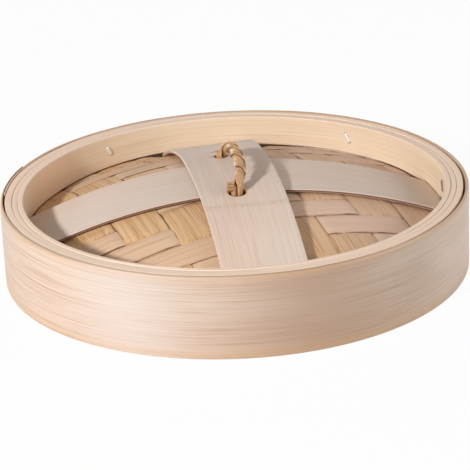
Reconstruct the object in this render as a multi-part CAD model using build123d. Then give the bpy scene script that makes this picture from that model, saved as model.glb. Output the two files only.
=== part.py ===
from build123d import *

import math
import os

# A bamboo steamer lid. Millimetres, +Z up, origin at the middle of the rim's foot.
# +X runs along the cross strap and +Y along the top strap.

# Rim: bent hoops, from the outside in
RIM_RADIUS = 127.0
RIM_HEIGHT = 44.6
OUTER_HOOP_THICKNESS = 2.4
MIDDLE_HOOP_THICKNESS = 3.4
CLAMP_HOOP_THICKNESS = 2.9
FACING_HOOP_THICKNESS = 2.7
LAYER_GAP = 0.2
# The outer hoop is bent a little off centre, so it stands off the middle hoop on one side
OUTER_HOOP_SLACK = 0.4
SLACK_ANGLE = -12.0
# Each inner layer ends a little below the rim's top edge
MIDDLE_HOOP_STEP = 0.7
CLAMP_HOOP_STEP = 0.9
FACING_HOOP_STEP = 0.2
OUTER_EDGE_ROUND = 1.5
INNER_EDGE_ROUND = 0.5
# Edge rounds take at most these shares of their wall
OUTER_ROUND_SHARE = 0.65
INNER_ROUND_SHARE = 0.32
# The foot of the rim drops this far over the basket
SOCKET_DEPTH = 9.0
# and is scraped this much wider there, so that it slides on
SOCKET_EASE = 1.0
# The facing hoop ends this far below the rim's top edge
WELL_DEPTH = 17.6

# Scarf laps, where the two tapered ends of a hoop overlap
SCARF_KERF = 0.3
SCARF_TIP = 0.7
SCARF_SPAN = 33.0
OUTER_LAP_ANGLE = 178.0
# The outer hoop's inner end leaves a wedge open behind it
OUTER_LAP_MOUTH = 0.8
OUTER_LAP_WEDGE = 2.6
MIDDLE_LAP_ANGLE = 60.0
CLAMP_LAP_ANGLE = 300.0
FACING_LAP_ANGLE = 262.0

# Domed twill panel
DOME_RISE = 24.0
STRIP_THICKNESS = 0.8
WEAVE_GAP = 0.2
WARP_COUNT = 10
WEFT_COUNT = 14
# The outermost strips reach this far behind the facing hoop before the panel is cut round
WARP_TUCK = 9.9
WEFT_TUCK = 10.0
# Warp strips lie this far to the right of an even spread
WARP_SHIFT = 1.5
# Each strip floats over this many, and the twill's diagonals start this many strips on
TWILL_FLOAT = 2
TWILL_START = 3
STRIP_SPACING = 1.6
WEAVE_TURN = 10.8
PANEL_EDGE_CLEARANCE = 1.0
PANEL_SEAT_CLEARANCE = 0.3
PANEL_TOP_CLEARANCE = 3.4

# Straps
STRAP_THICKNESS = 1.9
TOP_STRAP_WIDTH = 46.0
CROSS_STRAP_WIDTH = 49.0
STRAP_EDGE_ROUND = 0.6
STRAP_CLEARANCE = 0.2
STRAP_END_CLEARANCE = 1.0
STRAP_SLOT_CLEARANCE = 0.4

# Cane loop
LOOP_RADIUS = 3.5
# The loop and its holes stand this far to the side of the top strap's middle
LOOP_OFFSET = -2.5
LOOP_HOLE_CLEARANCE = 1.5
LOOP_SIDE_CLEARANCE = 0.7
LOOP_RISE = 9.3
LOOP_LEG = 2.6
LOOP_SHOULDER_RADIUS = 10.0
LOOP_HEEL_RADIUS = 7.0
LOOP_UNDER_CLEARANCE = 1.6
WEAVE_HOLE_CLEARANCE = 2.3

# Wire staples through the inner hoops, set by hand at uneven angles
STAPLE_ANGLES = (-4.0, 46.0, 121.0, 176.0, 236.0, 296.0)
STAPLE_LENGTH = 6.4
STAPLE_WIDTH = 1.1
STAPLE_THICKNESS = 0.6
STAPLE_LEAN = 32.0
STAPLE_CORNER_RADIUS = 1.0
STAPLE_BITE = 1.5

# Radii of the rim's layers
outer_bore = RIM_RADIUS - OUTER_HOOP_THICKNESS
middle_radius = outer_bore - OUTER_HOOP_SLACK - LAYER_GAP
middle_bore = middle_radius - MIDDLE_HOOP_THICKNESS
clamp_radius = middle_bore - LAYER_GAP
clamp_bore = clamp_radius - CLAMP_HOOP_THICKNESS
facing_radius = clamp_bore - LAYER_GAP
facing_bore = facing_radius - FACING_HOOP_THICKNESS
facing_bottom = RIM_HEIGHT - WELL_DEPTH

# The panel is woven in two layers on a sphere
warp_pitch = 2 * (facing_bore + WARP_TUCK) / WARP_COUNT
weft_pitch = 2 * (facing_bore + WEFT_TUCK) / WEFT_COUNT
panel_radius = middle_bore - PANEL_EDGE_CLEARANCE
panel_rim_top = facing_bottom - PANEL_TOP_CLEARANCE
weave_top = (facing_bore**2 + DOME_RISE**2) / (2 * DOME_RISE)
dome_center = panel_rim_top + DOME_RISE - weave_top
layer_step = STRIP_THICKNESS + WEAVE_GAP
weave_middle = weave_top - STRIP_THICKNESS - WEAVE_GAP / 2
weave_under = weave_top - STRIP_THICKNESS - layer_step


def sphere_height(radius, distance):
    """Height above the foot of a dome of this radius at a distance from the lid's axis."""
    return dome_center + math.sqrt(radius**2 - distance**2)


# The cross strap hugs the panel, and the top strap arches over the cross strap's edges
strap_reach = panel_radius - STRAP_END_CLEARANCE
cross_under = weave_top + STRAP_CLEARANCE
cross_crown = dome_center + cross_under + STRAP_THICKNESS
cross_half = CROSS_STRAP_WIDTH / 2
saddle_height = cross_crown + STRAP_CLEARANCE
top_end_height = sphere_height(cross_under, strap_reach)
top_center = (cross_half**2 + saddle_height**2 - strap_reach**2 - top_end_height**2) / (
    2 * (saddle_height - top_end_height)
)
top_under = math.hypot(cross_half, saddle_height - top_center)
top_crown = top_center + top_under + STRAP_THICKNESS

# The loop's legs stand just outside the cross strap's edges
leg_place = cross_half + LOOP_SIDE_CLEARANCE + LOOP_RADIUS
strap_hole_radius = LOOP_RADIUS + LOOP_HOLE_CLEARANCE
weave_hole_radius = LOOP_RADIUS + WEAVE_HOLE_CLEARANCE


def hoop(outer_radius, bore_radius, bottom, top, outer_round=INNER_EDGE_ROUND):
    """A bent hoop of upright section with its top edges rounded."""
    wall = outer_radius - bore_radius
    section = Pos(bore_radius + wall / 2, (bottom + top) / 2) * Rectangle(wall, top - bottom)
    corners = section.vertices().group_by(Axis.Y)[-1].sort_by(Axis.X)
    section = fillet(corners[0], min(INNER_EDGE_ROUND, INNER_ROUND_SHARE * wall))
    corners = section.vertices().sort_by(Axis.X)[-2:].sort_by(Axis.Y)
    section = fillet(corners[-1], min(outer_round, OUTER_ROUND_SHARE * wall))
    return revolve(Plane.XZ * section, Axis.Z)


def plain_hoop(outer_radius, bore_radius, bottom, top):
    """A bent hoop of upright section with square edges."""
    height = top - bottom
    ring = Cylinder(outer_radius, height) - Cylinder(bore_radius, height)
    return Pos(0, 0, bottom + height / 2) * ring


def polar(radius, angle):
    """Point in plan at a radius and an angle in degrees."""
    return (radius * math.cos(math.radians(angle)), radius * math.sin(math.radians(angle)))


def scarf(outer_radius, bore_radius, angle, mouth=SCARF_KERF, wedge=0):
    """The slanting cut between a hoop's two tapered ends, with any wedge left open behind its inner end."""
    end = angle - SCARF_SPAN
    notch = math.degrees(SCARF_KERF / outer_radius)
    middle = (bore_radius + outer_radius) / 2
    inner_face = ThreePointArc(
        polar(bore_radius + SCARF_TIP, angle - notch),
        polar(middle, (angle + end) / 2),
        polar(outer_radius - SCARF_TIP, end),
    )
    outer_face = ThreePointArc(
        polar(bore_radius + SCARF_TIP + mouth, angle),
        polar(middle + (mouth + SCARF_KERF) / 2, (angle + end) / 2),
        polar(outer_radius - SCARF_TIP + SCARF_KERF, end + notch),
    )
    inside = bore_radius - SCARF_TIP
    outside = outer_radius + SCARF_TIP
    outer_notch = Polyline(
        inner_face @ 1,
        polar(outside, end),
        polar(outside, end + notch),
        outer_face @ 1,
    )
    inner_notch = Polyline(
        outer_face @ 0,
        polar(inside, angle + wedge),
        polar(inside, angle - notch),
        inner_face @ 0,
    )
    return extrude(make_face([inner_face, outer_notch, outer_face, inner_notch]), RIM_HEIGHT)


def rim_hoops():
    """The six bent hoops of the rim by name."""
    slack = polar(OUTER_HOOP_SLACK, SLACK_ANGLE)
    blank_bore = outer_bore - 2 * OUTER_HOOP_SLACK - INNER_EDGE_ROUND
    outer = hoop(RIM_RADIUS, blank_bore, 0, RIM_HEIGHT, OUTER_EDGE_ROUND)
    outer -= Pos(*slack, RIM_HEIGHT / 2) * Cylinder(outer_bore, RIM_HEIGHT)
    outer -= scarf(RIM_RADIUS, outer_bore, OUTER_LAP_ANGLE, OUTER_LAP_MOUTH, OUTER_LAP_WEDGE)

    middle_top = RIM_HEIGHT - MIDDLE_HOOP_STEP
    middle = hoop(middle_radius, middle_bore, 0, middle_top)
    middle -= Pos(0, 0, SOCKET_DEPTH / 2) * Cylinder(middle_bore + SOCKET_EASE, SOCKET_DEPTH)
    middle -= scarf(middle_radius, middle_bore, MIDDLE_LAP_ANGLE)

    slot_top = strap_slot_top()
    clamp_top = RIM_HEIGHT - CLAMP_HOOP_STEP
    clamp = hoop(clamp_radius, clamp_bore, slot_top, clamp_top)
    clamp -= scarf(clamp_radius, clamp_bore, CLAMP_LAP_ANGLE)

    facing_top = RIM_HEIGHT - FACING_HOOP_STEP
    facing = hoop(facing_radius, facing_bore, facing_bottom, facing_top)
    facing -= scarf(facing_radius, facing_bore, FACING_LAP_ANGLE)
    slot_depth = 2 * (slot_top - facing_bottom)
    across = 2 * RIM_RADIUS
    for width, turn in ((CROSS_STRAP_WIDTH, 0), (TOP_STRAP_WIDTH, 90)):
        slot = Box(across, width + 2 * STRAP_SLOT_CLEARANCE, slot_depth)
        facing -= Pos(0, 0, facing_bottom) * Rot(0, 0, turn) * slot

    lower_facing_top = sphere_height(weave_under, facing_radius) - PANEL_SEAT_CLEARANCE
    lower_facing = plain_hoop(facing_radius, facing_bore, SOCKET_DEPTH, lower_facing_top)
    lower_facing -= scarf(facing_radius, facing_bore, CLAMP_LAP_ANGLE)
    lower_clamp_top = sphere_height(weave_under, panel_radius) - PANEL_SEAT_CLEARANCE
    lower_clamp = plain_hoop(clamp_radius, clamp_bore, SOCKET_DEPTH, lower_clamp_top)
    lower_clamp -= scarf(clamp_radius, clamp_bore, FACING_LAP_ANGLE)
    return {
        "outer_hoop": outer,
        "middle_hoop": middle,
        "upper_clamp_hoop": clamp,
        "upper_facing_hoop": facing,
        "lower_clamp_hoop": lower_clamp,
        "lower_facing_hoop": lower_facing,
    }


def strap_slot_top():
    """Height of the slots in the facing hoop, clear of the higher strap's corners."""
    cross_corner = math.sqrt(facing_bore**2 - cross_half**2)
    top_corner = math.sqrt(facing_bore**2 - (TOP_STRAP_WIDTH / 2) ** 2)
    cross_top = sphere_height(cross_under + STRAP_THICKNESS, cross_corner)
    top_top = top_center + math.sqrt((top_under + STRAP_THICKNESS) ** 2 - top_corner**2)
    return max(cross_top, top_top) + STRAP_CLEARANCE


def on_circle(radius, x):
    """Point at x on the upper half of a circle about the origin."""
    return (x, math.sqrt(radius**2 - x**2))


def strip_face(levels, bounds, side):
    """Edges of one face of a strip: an arc over each run, and a riser where it changes layer."""
    runs = []
    start = bounds[0]
    for index in range(1, len(levels)):
        fall = levels[index - 1] - levels[index]
        if fall:
            riser = bounds[index] + side * fall * STRIP_THICKNESS / 4
            runs.append((levels[index - 1], start, riser))
            start = riser
    runs.append((levels[-1], start, bounds[-1]))
    edges = []
    for level, start, stop in runs:
        radius = weave_middle + level * layer_step / 2 + side * STRIP_THICKNESS / 2
        arc = ThreePointArc(*(on_circle(radius, x) for x in (start, (start + stop) / 2, stop)))
        if edges:
            edges.append(Line(edges[-1] @ 1, arc @ 0))
        edges.append(arc)
    return edges


def woven_strip(place, pitch, levels, bounds, turn):
    """One strip along X at a sideways place, woven over and under, then turned about the axis."""
    overshoot = panel_radius + STRIP_SPACING
    bounds = [-overshoot, *bounds[1:-1], overshoot]
    top = strip_face(levels, bounds, 1)
    under = strip_face(levels, bounds, -1)
    ends = [Line(top[0] @ 0, under[0] @ 0), Line(top[-1] @ 1, under[-1] @ 1)]
    upright = Plane((0, 0, dome_center), x_dir=(1, 0, 0), z_dir=(0, -1, 0))
    section = upright * make_face(top + under + ends)
    spine = Axis((0, 0, dome_center), (1, 0, 0))
    swing = math.degrees(math.asin((abs(place) + pitch) / math.sqrt(weave_under**2 - overshoot**2)))
    shell = revolve(section.rotate(spine, -swing), spine, 2 * swing)
    plan = Pos(0, place) * Rectangle(4 * panel_radius, pitch - STRIP_SPACING) & Circle(panel_radius)
    for side in (-1, 1):
        plan -= Rot(0, 0, -turn) * Pos(LOOP_OFFSET, side * leg_place) * Circle(weave_hole_radius)
    return Rot(0, 0, turn) * (shell & extrude(plan, 2 * RIM_HEIGHT))


def woven_panel():
    """Twill of wide warp strips along Y and narrow weft strips along X."""
    warp_bounds = [(index - WARP_COUNT / 2) * warp_pitch + WARP_SHIFT for index in range(WARP_COUNT + 1)]
    weft_bounds = [(index - WEFT_COUNT / 2) * weft_pitch for index in range(WEFT_COUNT + 1)]

    def weft_over(column, row):
        return (column + row + TWILL_START) % (2 * TWILL_FLOAT) < TWILL_FLOAT

    strips = {}
    for row in range(WEFT_COUNT):
        levels = [1 if weft_over(column, row) else -1 for column in range(WARP_COUNT)]
        place = (weft_bounds[row] + weft_bounds[row + 1]) / 2
        strips[f"weft_strip_{row + 1:02d}"] = woven_strip(
            place, weft_pitch, levels, warp_bounds, WEAVE_TURN
        )
    for column in range(WARP_COUNT):
        levels = [-1 if weft_over(column, row) else 1 for row in range(WEFT_COUNT)]
        place = (warp_bounds[column] + warp_bounds[column + 1]) / 2
        strips[f"warp_strip_{column + 1:02d}"] = woven_strip(
            -place, warp_pitch, levels, weft_bounds, WEAVE_TURN + 90
        )
    return strips


def bent_slat(under_radius, center_height, width):
    """A flat slat along X bent to an arc, with its upper long edges eased and its ends cut round."""
    over_radius = under_radius + STRAP_THICKNESS
    over = [on_circle(over_radius, x) for x in (-panel_radius, 0, panel_radius)]
    under = [on_circle(under_radius, x) for x in (-panel_radius, 0, panel_radius)]
    outline = [
        ThreePointArc(*over),
        Line(over[2], under[2]),
        ThreePointArc(*under),
        Line(under[0], over[0]),
    ]
    section = Plane((0, 0, center_height), x_dir=(1, 0, 0), z_dir=(0, -1, 0)) * make_face(outline)
    slat = extrude(section, width / 2, both=True)
    upper_edges = slat.edges().filter_by(GeomType.CIRCLE).sort_by(lambda edge: edge.radius)[-2:]
    slat = fillet(upper_edges, min(STRAP_EDGE_ROUND, INNER_ROUND_SHARE * STRAP_THICKNESS))
    return slat & Pos(0, 0, RIM_HEIGHT) * Cylinder(strap_reach, 2 * RIM_HEIGHT)


def straps():
    """The cross strap and, over it, the top strap with its two holes for the loop."""
    cross = bent_slat(cross_under, dome_center, CROSS_STRAP_WIDTH)
    top = Rot(0, 0, 90) * bent_slat(top_under, top_center, TOP_STRAP_WIDTH)
    for side in (-1, 1):
        top -= Pos(LOOP_OFFSET, side * leg_place, top_crown) * Cylinder(strap_hole_radius, 2 * DOME_RISE)
    return {"cross_strap": cross, "top_strap": top}


def upright_arc(center, radius, start, stop):
    """Arc in the upright plane along Y, between two angles in degrees from the +Y direction."""
    points = []
    for angle in (start, (start + stop) / 2, stop):
        y, z = polar(radius, angle)
        points.append((0, center[0] + y, center[1] + z))
    return ThreePointArc(*points)


def cane_loop():
    """The closed ring of cane: a low arch above the strap, a run under the panel, legs between."""
    run_radius = weave_under - LOOP_UNDER_CLEARANCE - LOOP_RADIUS
    heel_place = leg_place - LOOP_HEEL_RADIUS
    heel_reach = run_radius + LOOP_HEEL_RADIUS
    waist = dome_center + math.sqrt(heel_reach**2 - heel_place**2)
    run_half = math.degrees(math.asin(heel_place / heel_reach))

    shoulder_place = leg_place - LOOP_SHOULDER_RADIUS
    neck = waist + LOOP_LEG
    apex = top_crown + LOOP_RISE
    arch = apex - neck
    crown_radius = (shoulder_place**2 + arch**2 - LOOP_SHOULDER_RADIUS**2) / (
        2 * (arch - LOOP_SHOULDER_RADIUS)
    )
    crown_half = math.degrees(math.asin(shoulder_place / (crown_radius - LOOP_SHOULDER_RADIUS)))

    shoulder = (shoulder_place, neck)
    far_shoulder = (-shoulder_place, neck)
    heel = (heel_place, waist)
    far_heel = (-heel_place, waist)
    path = Wire(
        [
            upright_arc(shoulder, LOOP_SHOULDER_RADIUS, 0, 90 - crown_half),
            upright_arc((0, apex - crown_radius), crown_radius, 90 - crown_half, 90 + crown_half),
            upright_arc(far_shoulder, LOOP_SHOULDER_RADIUS, 90 + crown_half, 180),
            Line((0, -leg_place, neck), (0, -leg_place, waist)),
            upright_arc(far_heel, LOOP_HEEL_RADIUS, 180, 270 + run_half),
            upright_arc((0, dome_center), run_radius, 90 + run_half, 90 - run_half),
            upright_arc(heel, LOOP_HEEL_RADIUS, -90 - run_half, 0),
            Line((0, leg_place, waist), (0, leg_place, neck)),
        ]
    )
    section = Plane((0, leg_place, waist), z_dir=(0, 0, 1)) * Circle(LOOP_RADIUS)
    return Pos(LOOP_OFFSET, 0) * sweep(section, path)


def rim_staples():
    """Flat wire staples whose crowns lie aslant on the facing hoop and whose legs bite the middle hoop."""
    lean = math.radians(STAPLE_LEAN)
    leg = middle_bore - facing_bore + STAPLE_BITE
    half = STAPLE_LENGTH / 2
    height = (facing_bottom + RIM_HEIGHT) / 2
    crown_radius = facing_bore - STAPLE_THICKNESS / 2
    corners = []
    for reach, side in ((leg, -1), (0, -1), (0, 1), (leg, 1)):
        across = side * half * math.sin(lean)
        up = side * half * math.cos(lean)
        corners.append((crown_radius + reach, across, height + up))
    path = FilletPolyline(*corners, radius=STAPLE_CORNER_RADIUS)
    wide = (0, -math.cos(lean), math.sin(lean))
    section = Plane(path @ 0, x_dir=wide, z_dir=path % 0) * Rectangle(STAPLE_WIDTH, STAPLE_THICKNESS)
    staple = sweep(section, path)
    return Compound([(Rot(0, 0, angle) * staple).solid() for angle in STAPLE_ANGLES])


os.makedirs("parts", exist_ok=True)
pieces = rim_hoops() | woven_panel() | straps()
pieces["handle_loop"] = cane_loop()
pieces["rim_staples"] = rim_staples()
for node, shape in pieces.items():
    export_step(shape, f"parts/{node}.step")

hinge_height = top_center + math.sqrt((top_under + STRAP_THICKNESS / 2) ** 2 - leg_place**2)
print("loop hinge height", round(hinge_height, 3), "leg place", leg_place)
print("socket radius", middle_bore + SOCKET_EASE, "crown", round(top_crown, 3))
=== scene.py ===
import math
import random

import bpy
import numpy as np
from bpy.props import FloatProperty, FloatVectorProperty, IntProperty, PointerProperty
from mathutils import Matrix, Vector


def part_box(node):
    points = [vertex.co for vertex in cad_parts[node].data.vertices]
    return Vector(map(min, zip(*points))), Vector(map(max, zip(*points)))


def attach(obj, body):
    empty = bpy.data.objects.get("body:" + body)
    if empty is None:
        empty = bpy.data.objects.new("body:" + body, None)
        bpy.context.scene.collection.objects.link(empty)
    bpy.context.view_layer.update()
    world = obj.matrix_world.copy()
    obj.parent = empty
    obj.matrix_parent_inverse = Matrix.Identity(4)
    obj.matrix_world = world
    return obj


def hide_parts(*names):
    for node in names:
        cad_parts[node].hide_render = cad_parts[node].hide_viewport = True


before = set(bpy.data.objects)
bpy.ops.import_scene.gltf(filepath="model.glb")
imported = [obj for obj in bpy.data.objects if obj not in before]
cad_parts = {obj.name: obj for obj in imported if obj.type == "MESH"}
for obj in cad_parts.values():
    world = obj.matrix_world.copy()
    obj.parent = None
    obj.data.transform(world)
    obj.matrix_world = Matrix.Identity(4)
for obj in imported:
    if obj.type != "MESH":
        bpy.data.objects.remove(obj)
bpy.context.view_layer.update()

bl_info = {
    "name": "Bamboo Steamer Lid",
    "version": (1, 0, 0),
    "blender": (4, 5, 0),
    "location": "View3D > Sidebar > Steamer Lid",
    "description": "Dresses a steamer lid's frame with bent hoops, a twill panel, straps and a cane loop",
    "category": "Object",
}

MM = 0.001
LID_BODY = "lid"
LOOP_BODY = "loop"
WARP_NODES = sorted(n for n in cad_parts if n.startswith("warp_strip"))
WEFT_NODES = sorted(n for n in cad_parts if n.startswith("weft_strip"))


def srgb(red, green, blue):
    """A screen colour from 0 to 255 as the linear colour that a shader takes."""
    shares = [c / 255 for c in (red, green, blue)]
    return tuple(c / 12.92 if c <= 0.04045 else ((c + 0.055) / 1.055) ** 2.4 for c in shares)


def length(name, description, default):
    return FloatProperty(name=name, description=description, default=default, unit="LENGTH", precision=5)


def angle(name, description, degrees):
    return FloatProperty(name=name, description=description, default=math.radians(degrees), subtype="ANGLE")


def share(name, description, default):
    return FloatProperty(
        name=name, description=description, default=default, subtype="FACTOR", min=0, max=1
    )


def count(name, description, default):
    return IntProperty(name=name, description=description, default=default, min=0)


def power(name, description, watts):
    return FloatProperty(name=name, description=description, default=watts, unit="POWER", min=0)


def colour(name, description, default):
    return FloatVectorProperty(
        name=name, description=description, default=default, subtype="COLOR", size=3, min=0, max=1
    )


class RimSettings(bpy.types.PropertyGroup):
    """Sizes of the bent hoops"""

    outer_wall: length("Outer wall", "Thickness of the outermost hoop", 2.4 * MM)
    middle_wall: length("Middle wall", "Thickness of the full height hoop inside it", 3.4 * MM)
    clamp_wall: length("Clamp wall", "Thickness of the hoops that clamp the panel", 2.9 * MM)
    facing_wall: length("Facing wall", "Thickness of the innermost hoops", 2.7 * MM)
    outer_round: length("Outer round", "Round on the rim's upper outer edge", 1.1 * MM)
    edge_round: length("Edge round", "Round on the other hoop edges", 0.24 * MM)
    slack: length("Slack", "How far the outer hoop stands off on its loose side", 0.9 * MM)
    flare: length("Flare", "Depth over which the outer hoop's loose edge leans away", 3.5 * MM)
    slack_side: angle("Slack side", "Where the outer hoop stands off", -14)
    lap_span: angle("Lap span", "Length of the tapered lap of a hoop's two ends", 33)
    lap_short: angle("Lap short", "How far the outer hoop's inner end stops short of its lap", 13)
    lap_tip: length("Lap tip", "Thickness left at the thin end of a lap", 0.3 * MM)
    lap_gap: length("Lap gap", "Gap between a lap's two ends", 0.1 * MM)
    swell: length("Swell", "How far the middle hoop springs out towards the outer hoop", 0.36 * MM)
    seam: length("Seam", "How far the inner hoops spring out towards the next one", 0.1 * MM)
    # Painted shade: a darker stretch of the outer hoop at the front-right, where the key lamp's light falls
    # off
    shade_side: angle("Ripe side", "Middle of the darker, riper stretch of the outer hoop", 281)
    shade_span: angle("Ripe span", "Reach of the riper stretch to each side", 26)
    # Painted light: a brighter, warmer stretch of the inner hoops on the left, standing in for light bounced
    # off the panel
    bounce_side: angle("Fresh side", "Middle of the fresher, warmer stretch of the inner hoops", 152)
    bounce_span: angle("Fresh span", "Reach of the fresher stretch to each side", 24)
    # Painted light: a warmer stretch of the outer hoop on the right, standing in for warmer light than the
    # cool side lamp gives there
    tint_side: angle("Rosy side", "Middle of the even, rosy stretch of the outer hoop", 332)
    tint_span: angle("Rosy span", "Reach of the rosy stretch to each side", 26)
    # Painted sheen: a paler, greyer stretch of the outer hoop at the front-left, where the key lamp glints
    sheen_side: angle("Bloom side", "Middle of the waxy stretch of the outer hoop", 236)
    sheen_span: angle("Bloom span", "Reach of the waxy stretch to each side", 15)
    rind: length("Rind", "Width of the golden rind along the outer hoop's two edges", 2.6 * MM)
    lift: length("Lift", "How far the hand-cut middle hoops stand up above their frame", 0.45 * MM)
    edge_wander: length("Edge wander", "How far the hand-cut edges wander", 0.16 * MM)


class PanelSettings(bpy.types.PropertyGroup):
    """Sizes of the woven panel"""

    dome_rise: length("Dome rise", "Height of the dome above the facing hoop's bore", 24.0 * MM)
    edge_drop: length("Edge drop", "How far the panel's edge lies under the facing hoop", 3.4 * MM)
    strip_thickness: length("Strip thickness", "Thickness of a strip along its middle", 0.8 * MM)
    edge_thickness: length("Edge thickness", "Thickness of a strip along its edges", 0.36 * MM)
    layer_step: length("Layer step", "Height between an over and an under strip", 1.0 * MM)
    strip_gap: length("Strip gap", "Gap between two strips side by side", 0.22 * MM)
    narrow: length("Narrow", "How much narrower than the rest some strips are", 1.4 * MM)
    warp_tuck: length("Warp tuck", "Reach of the outermost warp strips behind the facing hoop", 9.9 * MM)
    weft_tuck: length("Weft tuck", "Reach of the outermost weft strips behind the facing hoop", 10.0 * MM)
    warp_shift: length("Warp shift", "How far the warp strips lie to the right of an even spread", 1.5 * MM)
    bulge: length("Bulge", "How far the panel rises at the back, between the straps", 2.6 * MM)
    bulge_middle: angle("Bulge middle", "Where the panel rises most", 72)
    bulge_span: angle("Bulge span", "Half the angle over which the panel rises", 76)
    edge_clearance: length("Edge clearance", "Gap between the panel's edge and the middle hoop", 1.0 * MM)
    turn: angle("Turn", "Turn of the weave against the straps", 10.8)
    dive: length("Dive", "Half the length in which a strip changes layer", 4.2 * MM)
    ridge: length("Ridge", "Height of the fibre ridges along a strip", 0.07 * MM)
    # Painted light: the pinkish-grey tint on the panel's right stands in for the cooler light there
    tint_reach: length("Rosy reach", "Distance to the right over which the strips turn rosy", 70 * MM)
    comb_count: count("Comb", "Splinters in front of the cross strap", 16)
    comb_far: length("Comb far", "Outer end of the row of splinters, from the lid's axis", 93 * MM)
    comb_near: length("Comb near", "Inner end of the row of splinters, from the lid's axis", 74 * MM)
    comb_offset: length("Comb offset", "Distance of the splinters' roots from the cross strap", 5 * MM)
    fibre_count: count("Fibres", "Tries at a frayed fibre on the strips' edges", 90)


class StrapSettings(bpy.types.PropertyGroup):
    """Sizes of the two straps"""

    thickness: length("Thickness", "Thickness of both straps", 1.9 * MM)
    edge_round: length("Edge round", "Round on the straps' upper edges", 0.4 * MM)
    under_round: length("Under round", "Round on the straps' lower edges", 1.3 * MM)
    clearance: length("Clearance", "Gap between a strap and what it lies on", 0.2 * MM)
    hole_radius: length("Hole radius", "Radius of the two holes in the top strap", 5.0 * MM)
    hole_place: length("Hole place", "Distance of the holes from the lid's axis", 28.7 * MM)
    hole_side: length("Hole side", "How far the holes stand to the right of the strap's middle", -2.5 * MM)
    hole_chip: length("Hole chip", "How ragged the holes' edges are", 0.28 * MM)
    skew: angle("Skew", "How far the top strap turns against the cross strap's square", 0.84)
    taper: length("Taper", "How much wider the top strap is at the back than at the front", 3.8 * MM)
    twist: length("Twist", "How far the top strap's back end tips up on the right", 1.0 * MM)
    back_hole: length("Back hole", "Radius of the back hole, which the cane fills", 3.9 * MM)
    joint_place: length("Joint place", "Where the cane joint crosses the top strap", -43.5 * MM)
    joint_height: length("Joint height", "Height of the cane joint's ridge", 0.13 * MM)
    joint_width: length("Joint width", "Half width of the cane joint's ridge", 1.5 * MM)


class LoopSettings(bpy.types.PropertyGroup):
    """Sizes of the twisted cane loop"""

    radius: length("Radius", "Radius round both strands", 3.5 * MM)
    lip: length("Lip", "How far a strand's one edge stands proud of the other strand", 0.9 * MM)
    lean: length("Lean", "How far the crown leans to the right", 4.5 * MM)
    shoulder_radius: length("Shoulder radius", "Bend between a leg and the crown", 10.0 * MM)
    heel_radius: length("Heel radius", "Bend between a leg and the run under the panel", 7.0 * MM)
    leg: length("Leg", "Straight part of a leg", 2.6 * MM)
    under_clearance: length("Under clearance", "Gap between the run and the panel", 1.6 * MM)
    stub_count: count("Stubs", "Strand ends that curl out of the front foot", 3)
    stub_length: length("Stub length", "Length of a curled strand end", 3.8 * MM)
    stub_radius: length("Stub radius", "Radius of a curled strand end", 0.95 * MM)
    stub_low: length("Stub low", "Height of the lowest strand end above the strap", 2.6 * MM)
    stub_step: length("Stub step", "Height from one strand end to the next", 1.7 * MM)
    weave_hole: length("Weave hole", "Radius of the holes through the panel", 5.8 * MM)


class StapleSettings(bpy.types.PropertyGroup):
    """Sizes of the wire staples"""

    crown: length("Crown", "Length of a staple's crown", 6.4 * MM)
    leg: length("Leg", "Length of a staple's leg in the wood", 4.0 * MM)
    width: length("Width", "Width of the flattened wire", 2.1 * MM)
    thickness: length("Thickness", "Thickness of the flattened wire", 0.85 * MM)
    corner: length("Corner", "Bend between a crown and a leg", 1.0 * MM)
    lean: angle("Lean", "How far the staples lean", 32)


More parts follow.
